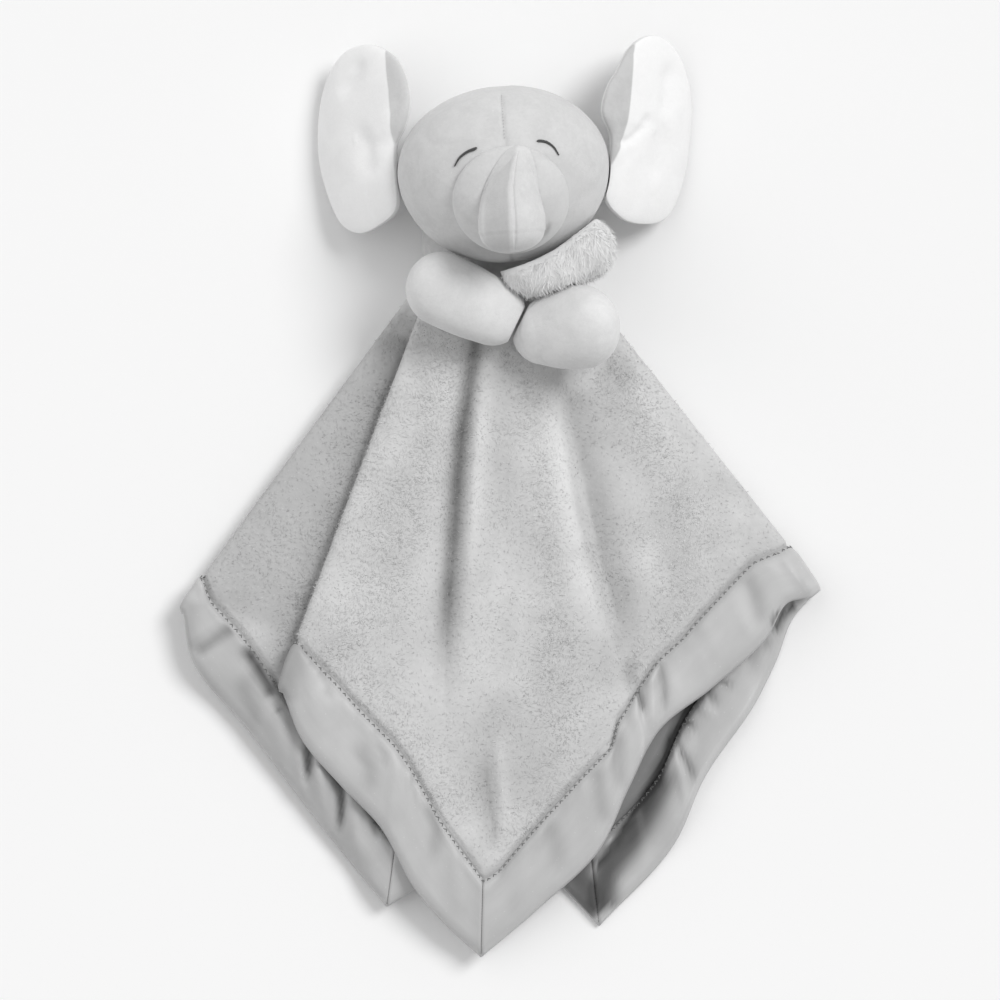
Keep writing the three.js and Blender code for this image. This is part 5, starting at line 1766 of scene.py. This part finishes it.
@dataclass
class StuffedHead:
    """Head, muzzle patch and closed eyes."""

    around: int = 208
    bands: int = 116
    groove: float = 0.55
    back_seam: float = -16.38
    seam_right: float = 1.3
    muzzle_offset: Row = (2.1, -14.5)
    muzzle_size: Row = (51.0, 46.0)
    muzzle_rise: float = 7.0
    muzzle_rim: float = 0.5
    muzzle_lift: float = 0.3
    left_eye: tuple[Row, ...] = ((-11.4, 8.7), (-15.6, 7.4), (-19.2, 5.0), (-21.6, 1.6))
    right_eye: tuple[Row, ...] = ((15.7, 10.2), (19.4, 9.4), (22.6, 7.0), (24.7, 3.3))

    def skin(self, finish: Material) -> Piece:
        """Makes the head's velour skin, with the seam down its forehead, the one round its back and painted
        shade under its chin.
        """
        turn = ring_angles(self.around)
        turn = turn + 0.34 * np.sin(2 * turn)
        rings = []
        for i in range(1, self.bands):
            latitude = math.pi * (i / self.bands - 0.5)
            high = HEAD.crown if latitude > 0 else HEAD.chin
            flat = math.cos(latitude)
            rings.append(np.column_stack([
                HEAD.half_width * flat * np.cos(turn),
                np.full(self.around, high * math.sin(latitude)),
                HEAD.half_depth * flat * np.sin(turn),
            ]))
        points, faces = ring_solid(rings, np.array([0, -HEAD.chin, 0]), np.array([0, HEAD.crown, 0]))
        outward = unit(points / np.column_stack([
            np.full(len(points), HEAD.half_width**2),
            HEAD.height(points[:, 1]) ** 2,
            np.full(len(points), HEAD.half_depth**2),
        ]))
        front = ease((points[:, 2] + 4) / 8)
        aside = points[:, 0] - self.seam_right
        seam = np.exp(-((aside / 1.1) ** 2)) * front * ease((37.0 - points[:, 1]) / 9.0)
        back = np.exp(-(((points[:, 2] - self.back_seam) / 0.9) ** 2))
        sunk = self.groove * np.maximum(seam, back)
        sunk += 0.25 * np.exp(-((aside / 3.5) ** 2)) * front
        soft = lattice_noise(points, 17.0, 31) * 0.35 + lattice_noise(points, 7.0, 32) * 0.12
        points = points + outward * (soft - sunk - 0.1)[:, None]
        world = HEAD.out_of(points)
        world[:, 2] = np.maximum(world[:, 2], 0.0)
        # painted shade under the chin, darker towards its bottom
        shade = 0.24 * ease((-27.0 - points[:, 1]) / 9.0)
        made = mesh_object("head_skin", world, faces, finish, values={"shade": shade})
        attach(made, "head")
        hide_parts("face_left", "face_right", "head_back", "head_stuffing")
        return made

    def muzzle(self, finish: Material) -> Piece:
        """Makes the padded muzzle patch."""
        around, bands = 160, 26
        angle = ring_angles(around)
        outer, under = [], []
        for i in range(1, bands + 1):
            share = math.sin(math.pi / 2 * i / bands)
            rise = (self.muzzle_rise - self.muzzle_rim) * math.sqrt(max(0.0, 1 - share * share))
            dome = rise + self.muzzle_rim
            right = self.muzzle_offset[0] + self.muzzle_size[0] / 2 * share * np.cos(angle)
            up = self.muzzle_offset[1] + self.muzzle_size[1] / 2 * share * np.sin(angle)
            plan = np.column_stack([right, up, np.zeros(around)])
            soft = lattice_noise(plan, 9.0, 41) * 0.3 * (1 - share**4)
            outer.append(HEAD.spot(right, up, self.muzzle_lift + dome + soft))
            under.append(HEAD.spot(right, up, 0.2))
        crest = HEAD.spot(*self.muzzle_offset, self.muzzle_lift + self.muzzle_rise)
        base = HEAD.spot(*self.muzzle_offset, 0.2)
        points, faces = ring_solid([*outer, *under[::-1]], crest, base)
        # painted shadow of the trunk's lower end
        values = {"shade": MUZZLE_SHADE.sink(points[:, :2])}
        made = mesh_object("muzzle_patch", points, faces, finish, values=values)
        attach(made, "head")
        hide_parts("muzzle")
        return made

    def eye(self, name: str, node: str, points: tuple[Row, ...], thread: Material) -> Piece:
        """Embroiders one closed eye in close stitches along its arc, thicker at the inner end.

        Args:
            name: the piece's name.
            node: the CAD node that it stands for.
            points: the arc's points on the face.
            thread: its material.

        Returns:
            The embroidered arc.
        """
        spots = np.array(points, float)
        stations = walked(spots)
        at = np.linspace(0, stations[-1], 44)
        line = through(at, stations, spots, monotone=False)
        placed = HEAD.spot(line[:, 0], line[:, 1], 0.45)
        deep = HEAD.spot(line[:, 0], line[:, 1], 0.0)
        facing = unit(placed - deep)
        along = unit(np.gradient(placed, axis=0))
        across = unit(along * 0.55 + np.cross(facing, along) * 0.84)
        taper = 1 - 0.5 * np.linspace(0, 1, 44) ** 1.5
        taper[:3] *= [0.6, 0.8, 0.95]
        made = stitched(name, placed, facing, across, thread, (1.95, 0.65, 0.12), taper)
        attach(made, "head")
        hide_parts(node)
        return made

    def forehead_stitches(self, thread: Material) -> Piece:
        """Sews the short stitches that show in the forehead's seam."""
        up = np.linspace(12.0, 33.0, 60)
        right = np.full(60, self.seam_right)
        line = HEAD.spot(right, up, -0.42)
        facing = unit(HEAD.spot(right, up, 1.0) - line)
        made = seam_stitches("forehead_seam", line, facing, 1.7, thread, (1.3, 0.3, 0.0))
        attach(made, "head")
        return made


@dataclass
class Trunk:
    """Short trunk sewn from two panels that meet in a low ridge."""

    offset: Row = (1.9, 8.2)
    length: float = 47.0
    width: float = 29.0
    depth: float = 22.0
    arch: float = 6.5
    stations: Row = (0.03, 0.1, 0.24, 0.4, 0.56, 0.7, 0.81, 0.9, 0.97)
    swells: Row = (0.28, 0.44, 0.66, 0.84, 0.97, 1.04, 1.03, 0.87, 0.52)
    ridge: float = 2.0
    profile_across: Row = (
        -1.0, -0.97, -0.9, -0.8, -0.55, -0.3, -0.06, 0.02, 0.09, 0.16, 0.4, 0.65, 0.85, 0.95, 1.0,
    )
    profile_height: Row = (
        0.0, 0.2, 0.33, 0.40, 0.60, 0.80, 0.98, 1.0, 0.93, 0.985, 0.95, 0.80, 0.54, 0.30, 0.0,
    )

    def centre(self, share: Points) -> Points:
        """Middle line of the trunk in the head's frame."""
        base = (self.offset[0] / HEAD.half_width) ** 2 + (self.offset[1] / HEAD.crown) ** 2
        rise = HEAD.half_depth * math.sqrt(1 - base) + self.arch * np.sin(np.pi * share * 0.72)
        return np.column_stack([self.right(share), self.offset[1] - share * self.length, rise])

    def right(self, share: Points) -> Points:
        """How far right the middle line lies: its root leans to the right of the nose."""
        root = 4.4 * np.clip(1 - np.asarray(share) / 0.45, 0, None) ** 1.5
        return self.offset[0] + 0.8 - share * 1.2 + root

    def make(self, finish: Material) -> Piece:
        """Makes the trunk, whose root is sewn to the face."""
        count, around = 74, 120
        stations = np.concatenate([[0.0], self.stations, [1.0]])
        swells = np.concatenate([[0.0], self.swells, [0.0]])
        shares = (1 - np.cos(np.pi * np.linspace(0.015, 0.985, count))) / 2
        swell = through(shares, stations, swells[:, None], monotone=True)[:, 0]
        swell = np.where(shares > 0.81, np.sqrt(np.maximum(0, 1 - ((shares - 0.81) / 0.192) ** 2)), swell)
        middles = self.centre(shares)
        angle = ring_angles(around) - np.pi / 2
        angle = angle + 0.3 * np.sin(2 * angle)
        rings = []
        profile = np.array(self.profile_across), np.array(self.profile_height)[:, None]
        height = through(np.cos(angle), *profile, monotone=True)[:, 0]
        for middle, size in zip(middles, swell):
            across = self.width / 2 * size * np.cos(angle)
            under = self.depth / 2 * size * np.sin(angle)
            over = (self.depth / 2 + self.ridge) * size * height
            high = np.where(np.sin(angle) > 0, over, under)
            rings.append(middle + np.column_stack([across, np.zeros(around), high]))
        ends = self.centre(np.array([0.0, 1.0]))
        points, faces = ring_solid(rings, ends[0], ends[1])
        points = points + lattice_noise(points, 8.0, 51)[:, None] * [0.12, 0.0, 0.22]
        world = self.cleared(HEAD.out_of(points))
        # painted shade on the trunk's left slope, which faces away from the light
        right = points[:, 0] - self.right(np.clip((self.offset[1] - points[:, 1]) / self.length, 0, 1))
        shade = 0.15 * ease((right + 13.5) / 2.5) * ease((-0.4 - right) / 1.6)
        made = mesh_object("trunk_form", world, faces, finish, values={"shade": shade})
        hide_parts("trunk_left", "trunk_right", "trunk_stuffing")
        start, end = HEAD.out_of(self.centre(np.array([0.02, 0.3]))) * MM
        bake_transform(made)
        return made

    def cleared(self, world: Points, gap: float = 0.5) -> Points:
        """Lifts places off the face and the muzzle patch by a gap."""
        local = HEAD.into(world)
        head = StuffedHead()
        radii = np.array(head.muzzle_size) / 2 + head.muzzle_rim
        share = np.hypot(*((local[:, :2] - head.muzzle_offset) / radii).T)
        rise = (head.muzzle_rise - head.muzzle_rim) * np.sqrt(np.maximum(0, 1 - share**2))
        dome = np.where(share < 1, rise + (head.muzzle_rim + head.muzzle_lift), 0.0)
        return HEAD.cleared(world, dome + gap)


class Side(Enum):
    """Left and right as seen in the picture."""

    LEFT = -1
    RIGHT = 1


# How far each ear's middle lies above the head's
EAR_RISES = {Side.LEFT: 13.7, Side.RIGHT: 17.8}
# Outline of each ear, as shares of its half width and half height
EAR_OUTLINES = {
    Side.LEFT: (
        (0.70, -0.08), (0.91, 0.15), (1.00, 0.41), (0.86, 0.72), (0.45, 0.95), (-0.07, 1.00), (-0.54, 0.87),
        (-0.90, 0.50), (-1.00, -0.10), (-0.77, -0.61), (-0.48, -0.90), (-0.13, -1.00), (0.33, -0.93),
        (0.74, -0.72), (0.71, -0.40),
    ),
    Side.RIGHT: (
        (0.74, -0.10), (0.96, 0.18), (0.88, 0.40), (0.66, 0.62), (0.48, 0.82), (0.16, 0.98), (-0.26, 1.00),
        (-0.66, 0.82), (-0.98, 0.34), (-0.98, -0.04), (-0.92, -0.42), (-0.64, -0.86), (0.04, -1.00),
        (0.50, -0.93), (0.80, -0.74), (0.74, -0.42),
    ),
}
# Edge of the grey back where it laps over the front, drawn on the picture
EAR_LAPS = {
    Side.LEFT: ((384, 40), (390, 62), (395, 90), (397, 115), (396.4, 146), (402, 175)),
    Side.RIGHT: ((636, 36), (629.5, 55), (625, 85), (621.5, 108), (616, 146), (606, 175)),
}
EAR_DENTS = {
    Side.LEFT: (
        Crease(((370, 54), (362, 76), (346, 98)), 1.5, 3.6, 3.2, 0.35, 0.35),
        Crease(((370, 118), (375, 145), (380, 185)), 1.6, 4.4, 3.2, 0.35, 0.3),
        Crease(((350, 60), (340, 120), (346, 190)), -0.7, 7.0, 7.0, 0.35, 0.35),
        Crease(((401, 66), (404, 95), (400, 128)), 0.8, 2.4, 2.4, 0.3, 0.3),
    ),
    Side.RIGHT: (
        Crease(((663, 58), (659, 90), (655, 120)), 1.8, 3.2, 3.6, 0.3, 0.35),
        Crease(((650, 118), (648, 150), (647, 190)), 1.5, 3.6, 3.6, 0.35, 0.35),
        Crease(((641, 112), (634, 126), (624, 139), (610, 146)), 1.6, 1.6, 2.0, 0.2, 0.15),
        Crease(((674, 80), (672, 130), (670, 180)), -0.7, 5.0, 5.0, 0.35, 0.35),
        Crease(((611, 84), (613, 110), (614, 142)), 0.9, 1.8, 1.8, 0.3, 0.3),
    ),
}


@dataclass
class Ear:
    """Flat padded ear: a white front, and a grey back that laps over its inner edge."""

    side: Side
    width: float = 58.0
    height: float = 84.5
    thickness: float = 13.0
    edge: float = 1.6
    slope_degrees: float = 45.0

    def __post_init__(self) -> None:
        """Works out the place and the directions of this side's ear."""
        slope = math.radians(self.slope_degrees)
        left = self.side is Side.LEFT
        sign = self.side.value
        self.label = "ear_left" if left else "ear_right"
        self.shares = EAR_OUTLINES[self.side]
        lean = 0.0 if left else math.radians(-3.0)
        reach = HEAD.half_width + 0.6 + self.width / 2 * math.cos(slope) * self.shares[0][0]
        low = self.width / 2 * math.sin(slope) + self.edge / 2 + 1.0
        self.middle = np.array([HEAD.centre[0] + sign * reach, HEAD.centre[1] + EAR_RISES[self.side], low])
        turn = about_z(lean)
        self.inward = turn @ np.array([-sign * math.cos(slope), 0, math.sin(slope)])
        self.upward = turn @ np.array([0.0, 1.0, 0.0])
        front = np.cross(self.inward, self.upward)
        self.front = front if front[2] > 0 else -front

    def outline(self, count: int) -> Points:
        """Smooth closed outline through the shares."""
        closed = np.array([*self.shares, *self.shares, *self.shares], float)
        stations = walked(closed)
        start, end = stations[len(self.shares)], stations[2 * len(self.shares)]
        return through(start + (end - start) * np.arange(count) / count, stations, closed, monotone=False)

    def make(self, finish: Material) -> Piece:
        """Makes the ear, whose inner edge is sewn to the head."""
        around, bands = 190, 34
        outline = self.outline(around) * [self.width / 2, self.height / 2]
        rings, panel = [], []
        for face in (1, -1):
            stack, marks = [], []
            for i in range(1, bands + 1):
                share = math.sin(math.pi / 2 * i / bands)
                flat = outline * share
                thick = (self.thickness - self.edge) / 2 * (1 - share * share) ** 0.6 + self.edge / 2
                if i == bands:
                    thick = 0.25
                spot = self.middle + flat[:, :1] * self.inward + flat[:, 1:] * self.upward
                rim = (1 - share) * np.linalg.norm(outline, axis=1)
                value = rim * (1.0 if face < 0 else -1.0)
                out = np.full(around, thick)
                if face > 0:
                    dents = sum(dent.sink(spot[:, :2]) for dent in EAR_DENTS[self.side])
                    out = out - dents * ease((1 - share) / 0.25)
                    value = self.lapped(spot[:, :2], value)
                spot = spot + face * out[:, None] * self.front
                stack.append(spot)
                marks.append(value)
            rings.extend(stack if face > 0 else stack[::-1])
            panel.extend(marks if face > 0 else marks[::-1])
        crest = self.middle + self.front * self.thickness / 2
        base = self.middle - self.front * self.thickness / 2
        points, faces = ring_solid(rings, crest, base)
        values = np.concatenate([[-20.0], *panel, [20.0]])
        seam = np.exp(-((values / 0.9) ** 2)) * 0.35
        soft = lattice_noise(points, 15.0, 61) * 0.3 + lattice_noise(points, 6.0, 62) * 0.05
        facing = np.sign((points - self.middle) @ self.front)[:, None] * self.front
        points = points + facing * (soft - seam)[:, None] * ease(np.abs(values) / 3 + 0.15)[:, None]
        points[:, 2] = np.maximum(points[:, 2], 0.6)
        points = HEAD.cleared(points, 0.35)
        made = mesh_object(self.label + "_pillow", points, faces, finish, values={"panel": values})
        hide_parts(self.label + "_front", self.label + "_back", self.label + "_wadding")
        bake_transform(made)
        return made

    def lapped(self, plan: Points, value: Points) -> Points:
        """Gives the grey back's value to the part of the front that it laps over."""
        far, side, share = distance_to_line(plan, from_photo(EAR_LAPS[self.side]))
        inner = side * self.side.value < 0
        inside = (share > 0.001) & (share < 0.999)
        signed = np.where(inner, far, -far)
        return np.where(inside, np.maximum(value, signed), value)


@dataclass
class Arm:
    """Stuffed arm: round at the shoulder, flatter at the hand, resting on the blanket."""

    side: Side
    shoulder: Row
    hand: Row
    shoulder_radius: float
    hand_radius: float
    floor: float = 25.0
    flatness: float = 0.88
    meet_top: Row = (13.5, -6.7)
    meet_bottom: Row = (3.6, -27.0)

    def ends(self) -> tuple[Points, Points]:
        """Centres of the shoulder and the hand."""
        lifts = (self.floor + self.shoulder_radius, self.floor + self.hand_radius * self.flatness)
        start, end = (NECK_CENTRE + np.array(spot) for spot in (self.shoulder, self.hand))
        return np.array([*start, lifts[0]]), np.array([*end, lifts[1]])

    def make(self, finish: Material) -> Piece:
        """Makes the arm."""
        around, cap, middle = 128, 30, 26
        start, end = self.ends()
        length = float(np.linalg.norm(end - start))
        along = (end - start) / length
        across = unit(np.array([-along[1], along[0], 0.0]))
        angle = ring_angles(around)
        rings = []
        tilt = math.asin((self.shoulder_radius - self.hand_radius) / length)
        stations = [(-math.pi / 2 + (math.pi / 2 + tilt) * k / cap, 0.0) for k in range(1, cap)]
        stations += [(tilt, k / middle) for k in range(middle + 1)]
        stations += [(tilt + (math.pi / 2 - tilt) * k / cap, 1.0) for k in range(1, cap)]
        for tip, share in stations:
            radius = self.shoulder_radius + (self.hand_radius - self.shoulder_radius) * share
            flat = 1 + (self.flatness - 1) * share
            belly = 1 + 0.035 * math.sin(math.pi * share)
            centre = start + along * (length * share + radius * math.sin(tip))
            wide = radius * math.cos(tip) * belly
            high = wide * flat * np.sin(angle)
            rings.append(centre + across * (wide * np.cos(angle))[:, None] + UP * high[:, None])
        first = start - along * self.shoulder_radius
        last = end + along * self.hand_radius
        points, faces = ring_solid(rings, first, last)
        points = self.shaped(points, start, end)
        label = "arm_left" if self.side is Side.LEFT else "arm_right"
        made = mesh_object(label + "_form", points, faces, finish)
        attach(made, label)
        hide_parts(label + "_top", label + "_bottom", label + "_stuffing")
        return made

    def shaped(self, points: Points, start: Points, end: Points) -> Points:
        """Adds the side seam and soft dimples, and presses the hand against the other one.

        Args:
            points: the plain form's points.
            start: centre of the shoulder.
            end: centre of the hand.

        Returns:
            The shaped points.
        """
        share = np.clip((points - start) @ (end - start) / np.dot(end - start, end - start), 0, 1)
        outward = unit(points - (start + share[:, None] * (end - start)))
        seam = np.exp(-(((points[:, 2] - (start[2] + end[2]) / 2) / 0.8) ** 2)) * 0.45
        soft = lattice_noise(points, 13.0, 71 + self.side.value) * 0.35 + lattice_noise(points, 5.0, 74) * 0.1
        points = points + outward * (soft - seam - 0.15)[:, None]
        top, bottom = (NECK_CENTRE + np.array(spot) for spot in (self.meet_top, self.meet_bottom))
        line = unit(top - bottom)
        facing = np.array([line[1], -line[0]]) * (1 if self.side is Side.LEFT else -1)
        past = (points[:, :2] - bottom) @ facing + 0.6
        limit = -0.25 * np.log1p(np.exp(np.clip(past / 0.25, -50, 50)))
        points[:, :2] += facing * np.where(past > -2.5, limit, 0.0)[:, None]
        points[:, 2] = np.maximum(points[:, 2], self.floor + 0.1)
        return HEAD.cleared(points, 0.6)


@dataclass
class Tuft:
    """Pinch of fleece that the arms hug, with longer ruffled pile."""

    line: tuple[Row, ...] = ((502, 268), (526, 274), (552, 267), (572, 256), (590, 248), (613, 243))
    radii: Row = (7.0, 11.0, 13.0, 14.0, 13.5, 13.0)
    floor: float = 25.0
    lift: float = 15.0
    end_rounding: float = 8.0
    head_gap: float = 1.3
    arm_gap: float = 1.2
    turned_head_gap: float = 4.0
    loose_pile_gap: float = 6.0
    head_turn_degrees: float = -25.0
    head_turn_axis: Row = (-0.069756, 0.997564, 0.0)

    def make(self, finish: Material, pile: Material, arms: tuple[Arm, Arm]) -> list[Piece]:
        """Makes the tuft and its pile.

        Args:
            finish: the fleece's material.
            pile: the pile's material.
            arms: the arms that it stays clear of.

        Returns:
            The tuft and its pile.
        """
        count, around = 54, 72
        plan = from_photo(self.line)
        stations = walked(plan)
        at = np.linspace(0, stations[-1], count)
        line = through(at, stations, plan, monotone=False)
        size = through(at, stations, np.array(self.radii)[:, None], monotone=True)[:, 0]
        inward = np.minimum(at, stations[-1] - at)
        size *= np.sqrt(np.maximum(0.05, 1 - (1 - np.clip(inward / self.end_rounding, 0, 1)) ** 2))
        along = unit(np.gradient(line, axis=0))
        angle = ring_angles(around)
        rings = []
        for spot, way, radius in zip(line, along, size):
            centre = np.array([*spot, self.floor + self.lift])
            side = np.array([-way[1], way[0], 0.0])
            high = self.lift * min(radius / 12, 1.1) * np.sin(angle)
            rings.append(centre + side * (radius * np.cos(angle))[:, None] + UP * high[:, None])
        ends = [np.array([*line[k], self.floor + self.lift]) for k in (0, -1)]
        ends[0][:2] -= along[0] * 0.3
        ends[1][:2] += along[-1] * 0.3
        points, faces = ring_solid(rings, ends[0], ends[1])
        middle = np.array([*line.mean(axis=0), self.floor + self.lift])
        outward = unit(points - middle)
        lumps = lattice_noise(points, 9.0, 81) * 1.3 + lattice_noise(points, 4.0, 82) * 0.5
        points = points + outward * (lumps - 0.6)[:, None]
        points[:, 2] = np.maximum(points[:, 2], self.floor + 0.2)
        for _ in range(3):
            points = self.off_turned_head(HEAD.cleared(points, self.head_gap), self.turned_head_gap)
            for arm in arms:
                points = self.beside(points, arm)
        points = self.off_turned_head(points, self.turned_head_gap)
        body = mesh_object("tuft_fleece", points, faces, finish)
        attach(body, "blanket")
        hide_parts("hugged_tuft")
        shown = [face for face in faces if np.mean([points[k][2] for k in face]) > self.floor + 3]
        open_air = np.linalg.norm(self.off_turned_head(points, self.loose_pile_gap) - points, axis=1) < 0.01
        ruffle = (0.6 + 0.4 * lattice_noise(points, 6.0, 84)) * open_air
        marks = {"ruffle": ruffle, "nap_and_painted_light": lattice_noise(points, 7.0, 83) * 0.3}
        carrier = mesh_object("tuft_carrier", points, shown, pile, values=marks)
        values = {
            "Tufts per Square Metre": 1900000.0,
            "Length": 0.003,
            "Width": 0.0005,
            "Lean": 1.8,
            "Swirl Size": 0.007,
            "Comb": (0.3, -1.2, 0.0),
            "Seed": 9,
            "Finish": pile,
        }
        fur = grown(carrier, PILE, values, "tuft_pile")
        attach(fur, "blanket")
        return [body, fur]

    def off_turned_head(self, points: Points, gap: float) -> Points:
        """Keeps places clear of the muzzle when the head is turned fully towards the tuft."""
        pivot = np.array(HEAD.centre)
        spin = np.array(Matrix.Rotation(math.radians(self.head_turn_degrees), 3, Vector(self.head_turn_axis)))
        cleared = Trunk().cleared((points - pivot) @ spin.T + pivot, gap)
        return (cleared - pivot) @ spin + pivot

    def beside(self, points: Points, arm: Arm) -> Points:
        """Moves places that are inside an arm, or closer to it than the gap, out of it."""
        start, end = arm.ends()
        share = np.clip((points - start) @ (end - start) / np.dot(end - start, end - start), 0, 1)
        centre = start + share[:, None] * (end - start)
        radius = arm.shoulder_radius + (arm.hand_radius - arm.shoulder_radius) * share + self.arm_gap
        away = points - centre
        far = np.linalg.norm(away, axis=1)
        out = centre + away / np.maximum(far, 0.5)[:, None] * radius[:, None]
        return np.where((far < radius)[:, None], out, points)


# Studio


@dataclass
class Studio:
    """Pale floor, soft lights and the camera straight above."""

    distance: float = 5.0
    lens: float = 400.0

    def floor(self, finish: Material) -> None:
        """Lays the floor."""
        half = 20000.0
        corners = ((-half, -half), (half, -half), (half, half), (-half, half))
        points = np.array([(*corner, -0.3) for corner in corners])
        mesh_object("floor", points, [(0, 1, 2, 3)], finish)

    def sun(self, name: str, source: Row, strength: float, spread: float) -> None:
        """Hangs one soft light.

        Args:
            name: its name.
            source: direction that its light comes from.
            strength: its power.
            spread: its angle in degrees, larger for softer shadows.
        """
        data = bpy.data.lights.new(name, "SUN")
        data.energy = strength
        data.angle = math.radians(spread)
        light = bpy.data.objects.new(name, data)
        light.rotation_euler = Vector(source).to_track_quat("Z", "Y").to_euler()
        bpy.context.scene.collection.objects.link(light)

    def lights(self) -> None:
        """Sets the lights and the pale surroundings."""
        self.sun("key", (0.66, 0.5, 0.95), 1.62, 24.0)
        self.sun("fill", (-0.8, 0.3, 1.0), 0.62, 70.0)
        world = bpy.data.worlds.new("surroundings")
        bpy.context.scene.world = world
        world.use_nodes = True
        world.node_tree.nodes.clear()
        bench = NodeBench(world.node_tree)
        path = bench.add("ShaderNodeLightPath")
        lit = bench.add("ShaderNodeBackground", {"Color": (1, 1, 1, 1), "Strength": 0.43})
        seen = bench.add("ShaderNodeBackground", {"Color": grey(246), "Strength": 1.0})
        parts = {0: path.outputs["Is Camera Ray"], 1: lit.outputs[0], 2: seen.outputs[0]}
        mix = bench.add("ShaderNodeMixShader", parts)
        bench.add("ShaderNodeOutputWorld", {"Surface": mix.outputs[0]})

    def camera(self) -> None:
        """Hangs the camera over the toy, at the picture's angle."""
        data = bpy.data.cameras.new("camera")
        data.lens = self.lens
        data.sensor_width = 36.0
        data.clip_start, data.clip_end = 0.1, 60.0
        camera = bpy.data.objects.new("camera", data)
        camera.location = (-0.0009, -0.000225, self.distance + 0.025)
        bpy.context.scene.collection.objects.link(camera)
        bpy.context.scene.camera = camera
        bpy.context.scene.view_settings.view_transform = "Standard"


def main() -> None:
    """Builds the toy piece by piece."""
    logging.basicConfig(level=logging.INFO, format="%(name)s: %(message)s")
    velour = Velour("grey_velour", 208, 217).make()
    # the arms wear the head's grey velour painted lighter, standing in for the light that falls on them
    arm_velour = Velour("arm_velour", 224, 233).make()
    trunk_velour = Velour("trunk_velour", 212, 222).make()
    muzzle_velour = Velour("muzzle_velour", 209, 218).make()
    # One fabric in two painted copies: the left ear, which faces away from the key light, is painted lighter,
    # and the right ear, which faces it, darker
    ear_finishes = {
        Side.LEFT: Velour("left_ear_velour", 210, 218, panel_light=251).make(),
        Side.RIGHT: Velour("right_ear_velour", 196, 204, panel_light=246).make(),
    }
    plush = Fleece("plush_fleece", 123, 248).make()
    pile = Pile("plush_pile", 128, 240, sheen=0.5).make()
    # the tuft is the blanket's fleece painted lighter, making up for the shade among its own fibres and on
    # its lower side
    tuft_fleece = Fleece("tuft_fleece_finish", 212, 246, depth=0.0003, sheen=0.5).make()
    tuft_pile = Pile("tuft_pile_finish", 214, 250, sheen=0.5).make()
    satin = Satin("grey_satin", 194, 200, roughness=0.45, sheen=0.15, specular=0.5).make()
    lining = Satin("smooth_lining", 172, 180, roughness=0.7, sheen=0.1).make()
    zigzag = Thread("zigzag_thread", 112, 140, sheen=0.1).make()
    eye_thread = Thread("eye_thread", 66, 90, sheen=0.1, specular=0.4).make()

    studio = Studio()
    studio.camera()
    studio.lights()
    studio.floor(Tabletop("pale_floor", 250, 251, sheen=0.0, specular=0.0).make())

    head = StuffedHead()
    pieces = [head.skin(velour), head.muzzle(muzzle_velour)]
    pieces.append(head.eye("closed_eye_left", "eye_left", head.left_eye, eye_thread))
    pieces.append(head.eye("closed_eye_right", "eye_right", head.right_eye, eye_thread))
    pieces.append(head.forehead_stitches(Thread("seam_thread", 172, 190).make()))
    pieces.append(Trunk().make(trunk_velour))
    pieces.extend(Ear(side).make(ear_finishes[side]) for side in Side)
    left = Arm(Side.LEFT, (-26.1, -1.9), (-3.4, -12.6), 16.8, 15.0)
    right = Arm(Side.RIGHT, (36.0, -19.3), (19.0, -21.7), 19.2, 14.4)
    arms = [left.make(arm_velour), right.make(arm_velour)]
    tuft = Tuft().make(tuft_fleece, tuft_pile, (left, right))

    blanket = Blanket(FoldedCloth())
    cloth = blanket.plush(plush)
    lining_cloth = blanket.lining(lining)
    strips = blanket.bindings(satin)
    sewing = blanket.stitching(zigzag)
    fur = blanket.pile(pile, [*arms, *tuft[:1], *pieces[:1]])
    neck = blanket.neck(velour)
    carried = [*strips, *sewing, *fur]
    for made in [*pieces, *arms, *tuft, cloth, lining_cloth, *carried, neck]:
        log.info("%s: %d faces", made.name, len(made.data.polygons))


if __name__ == "__main__":
    main()
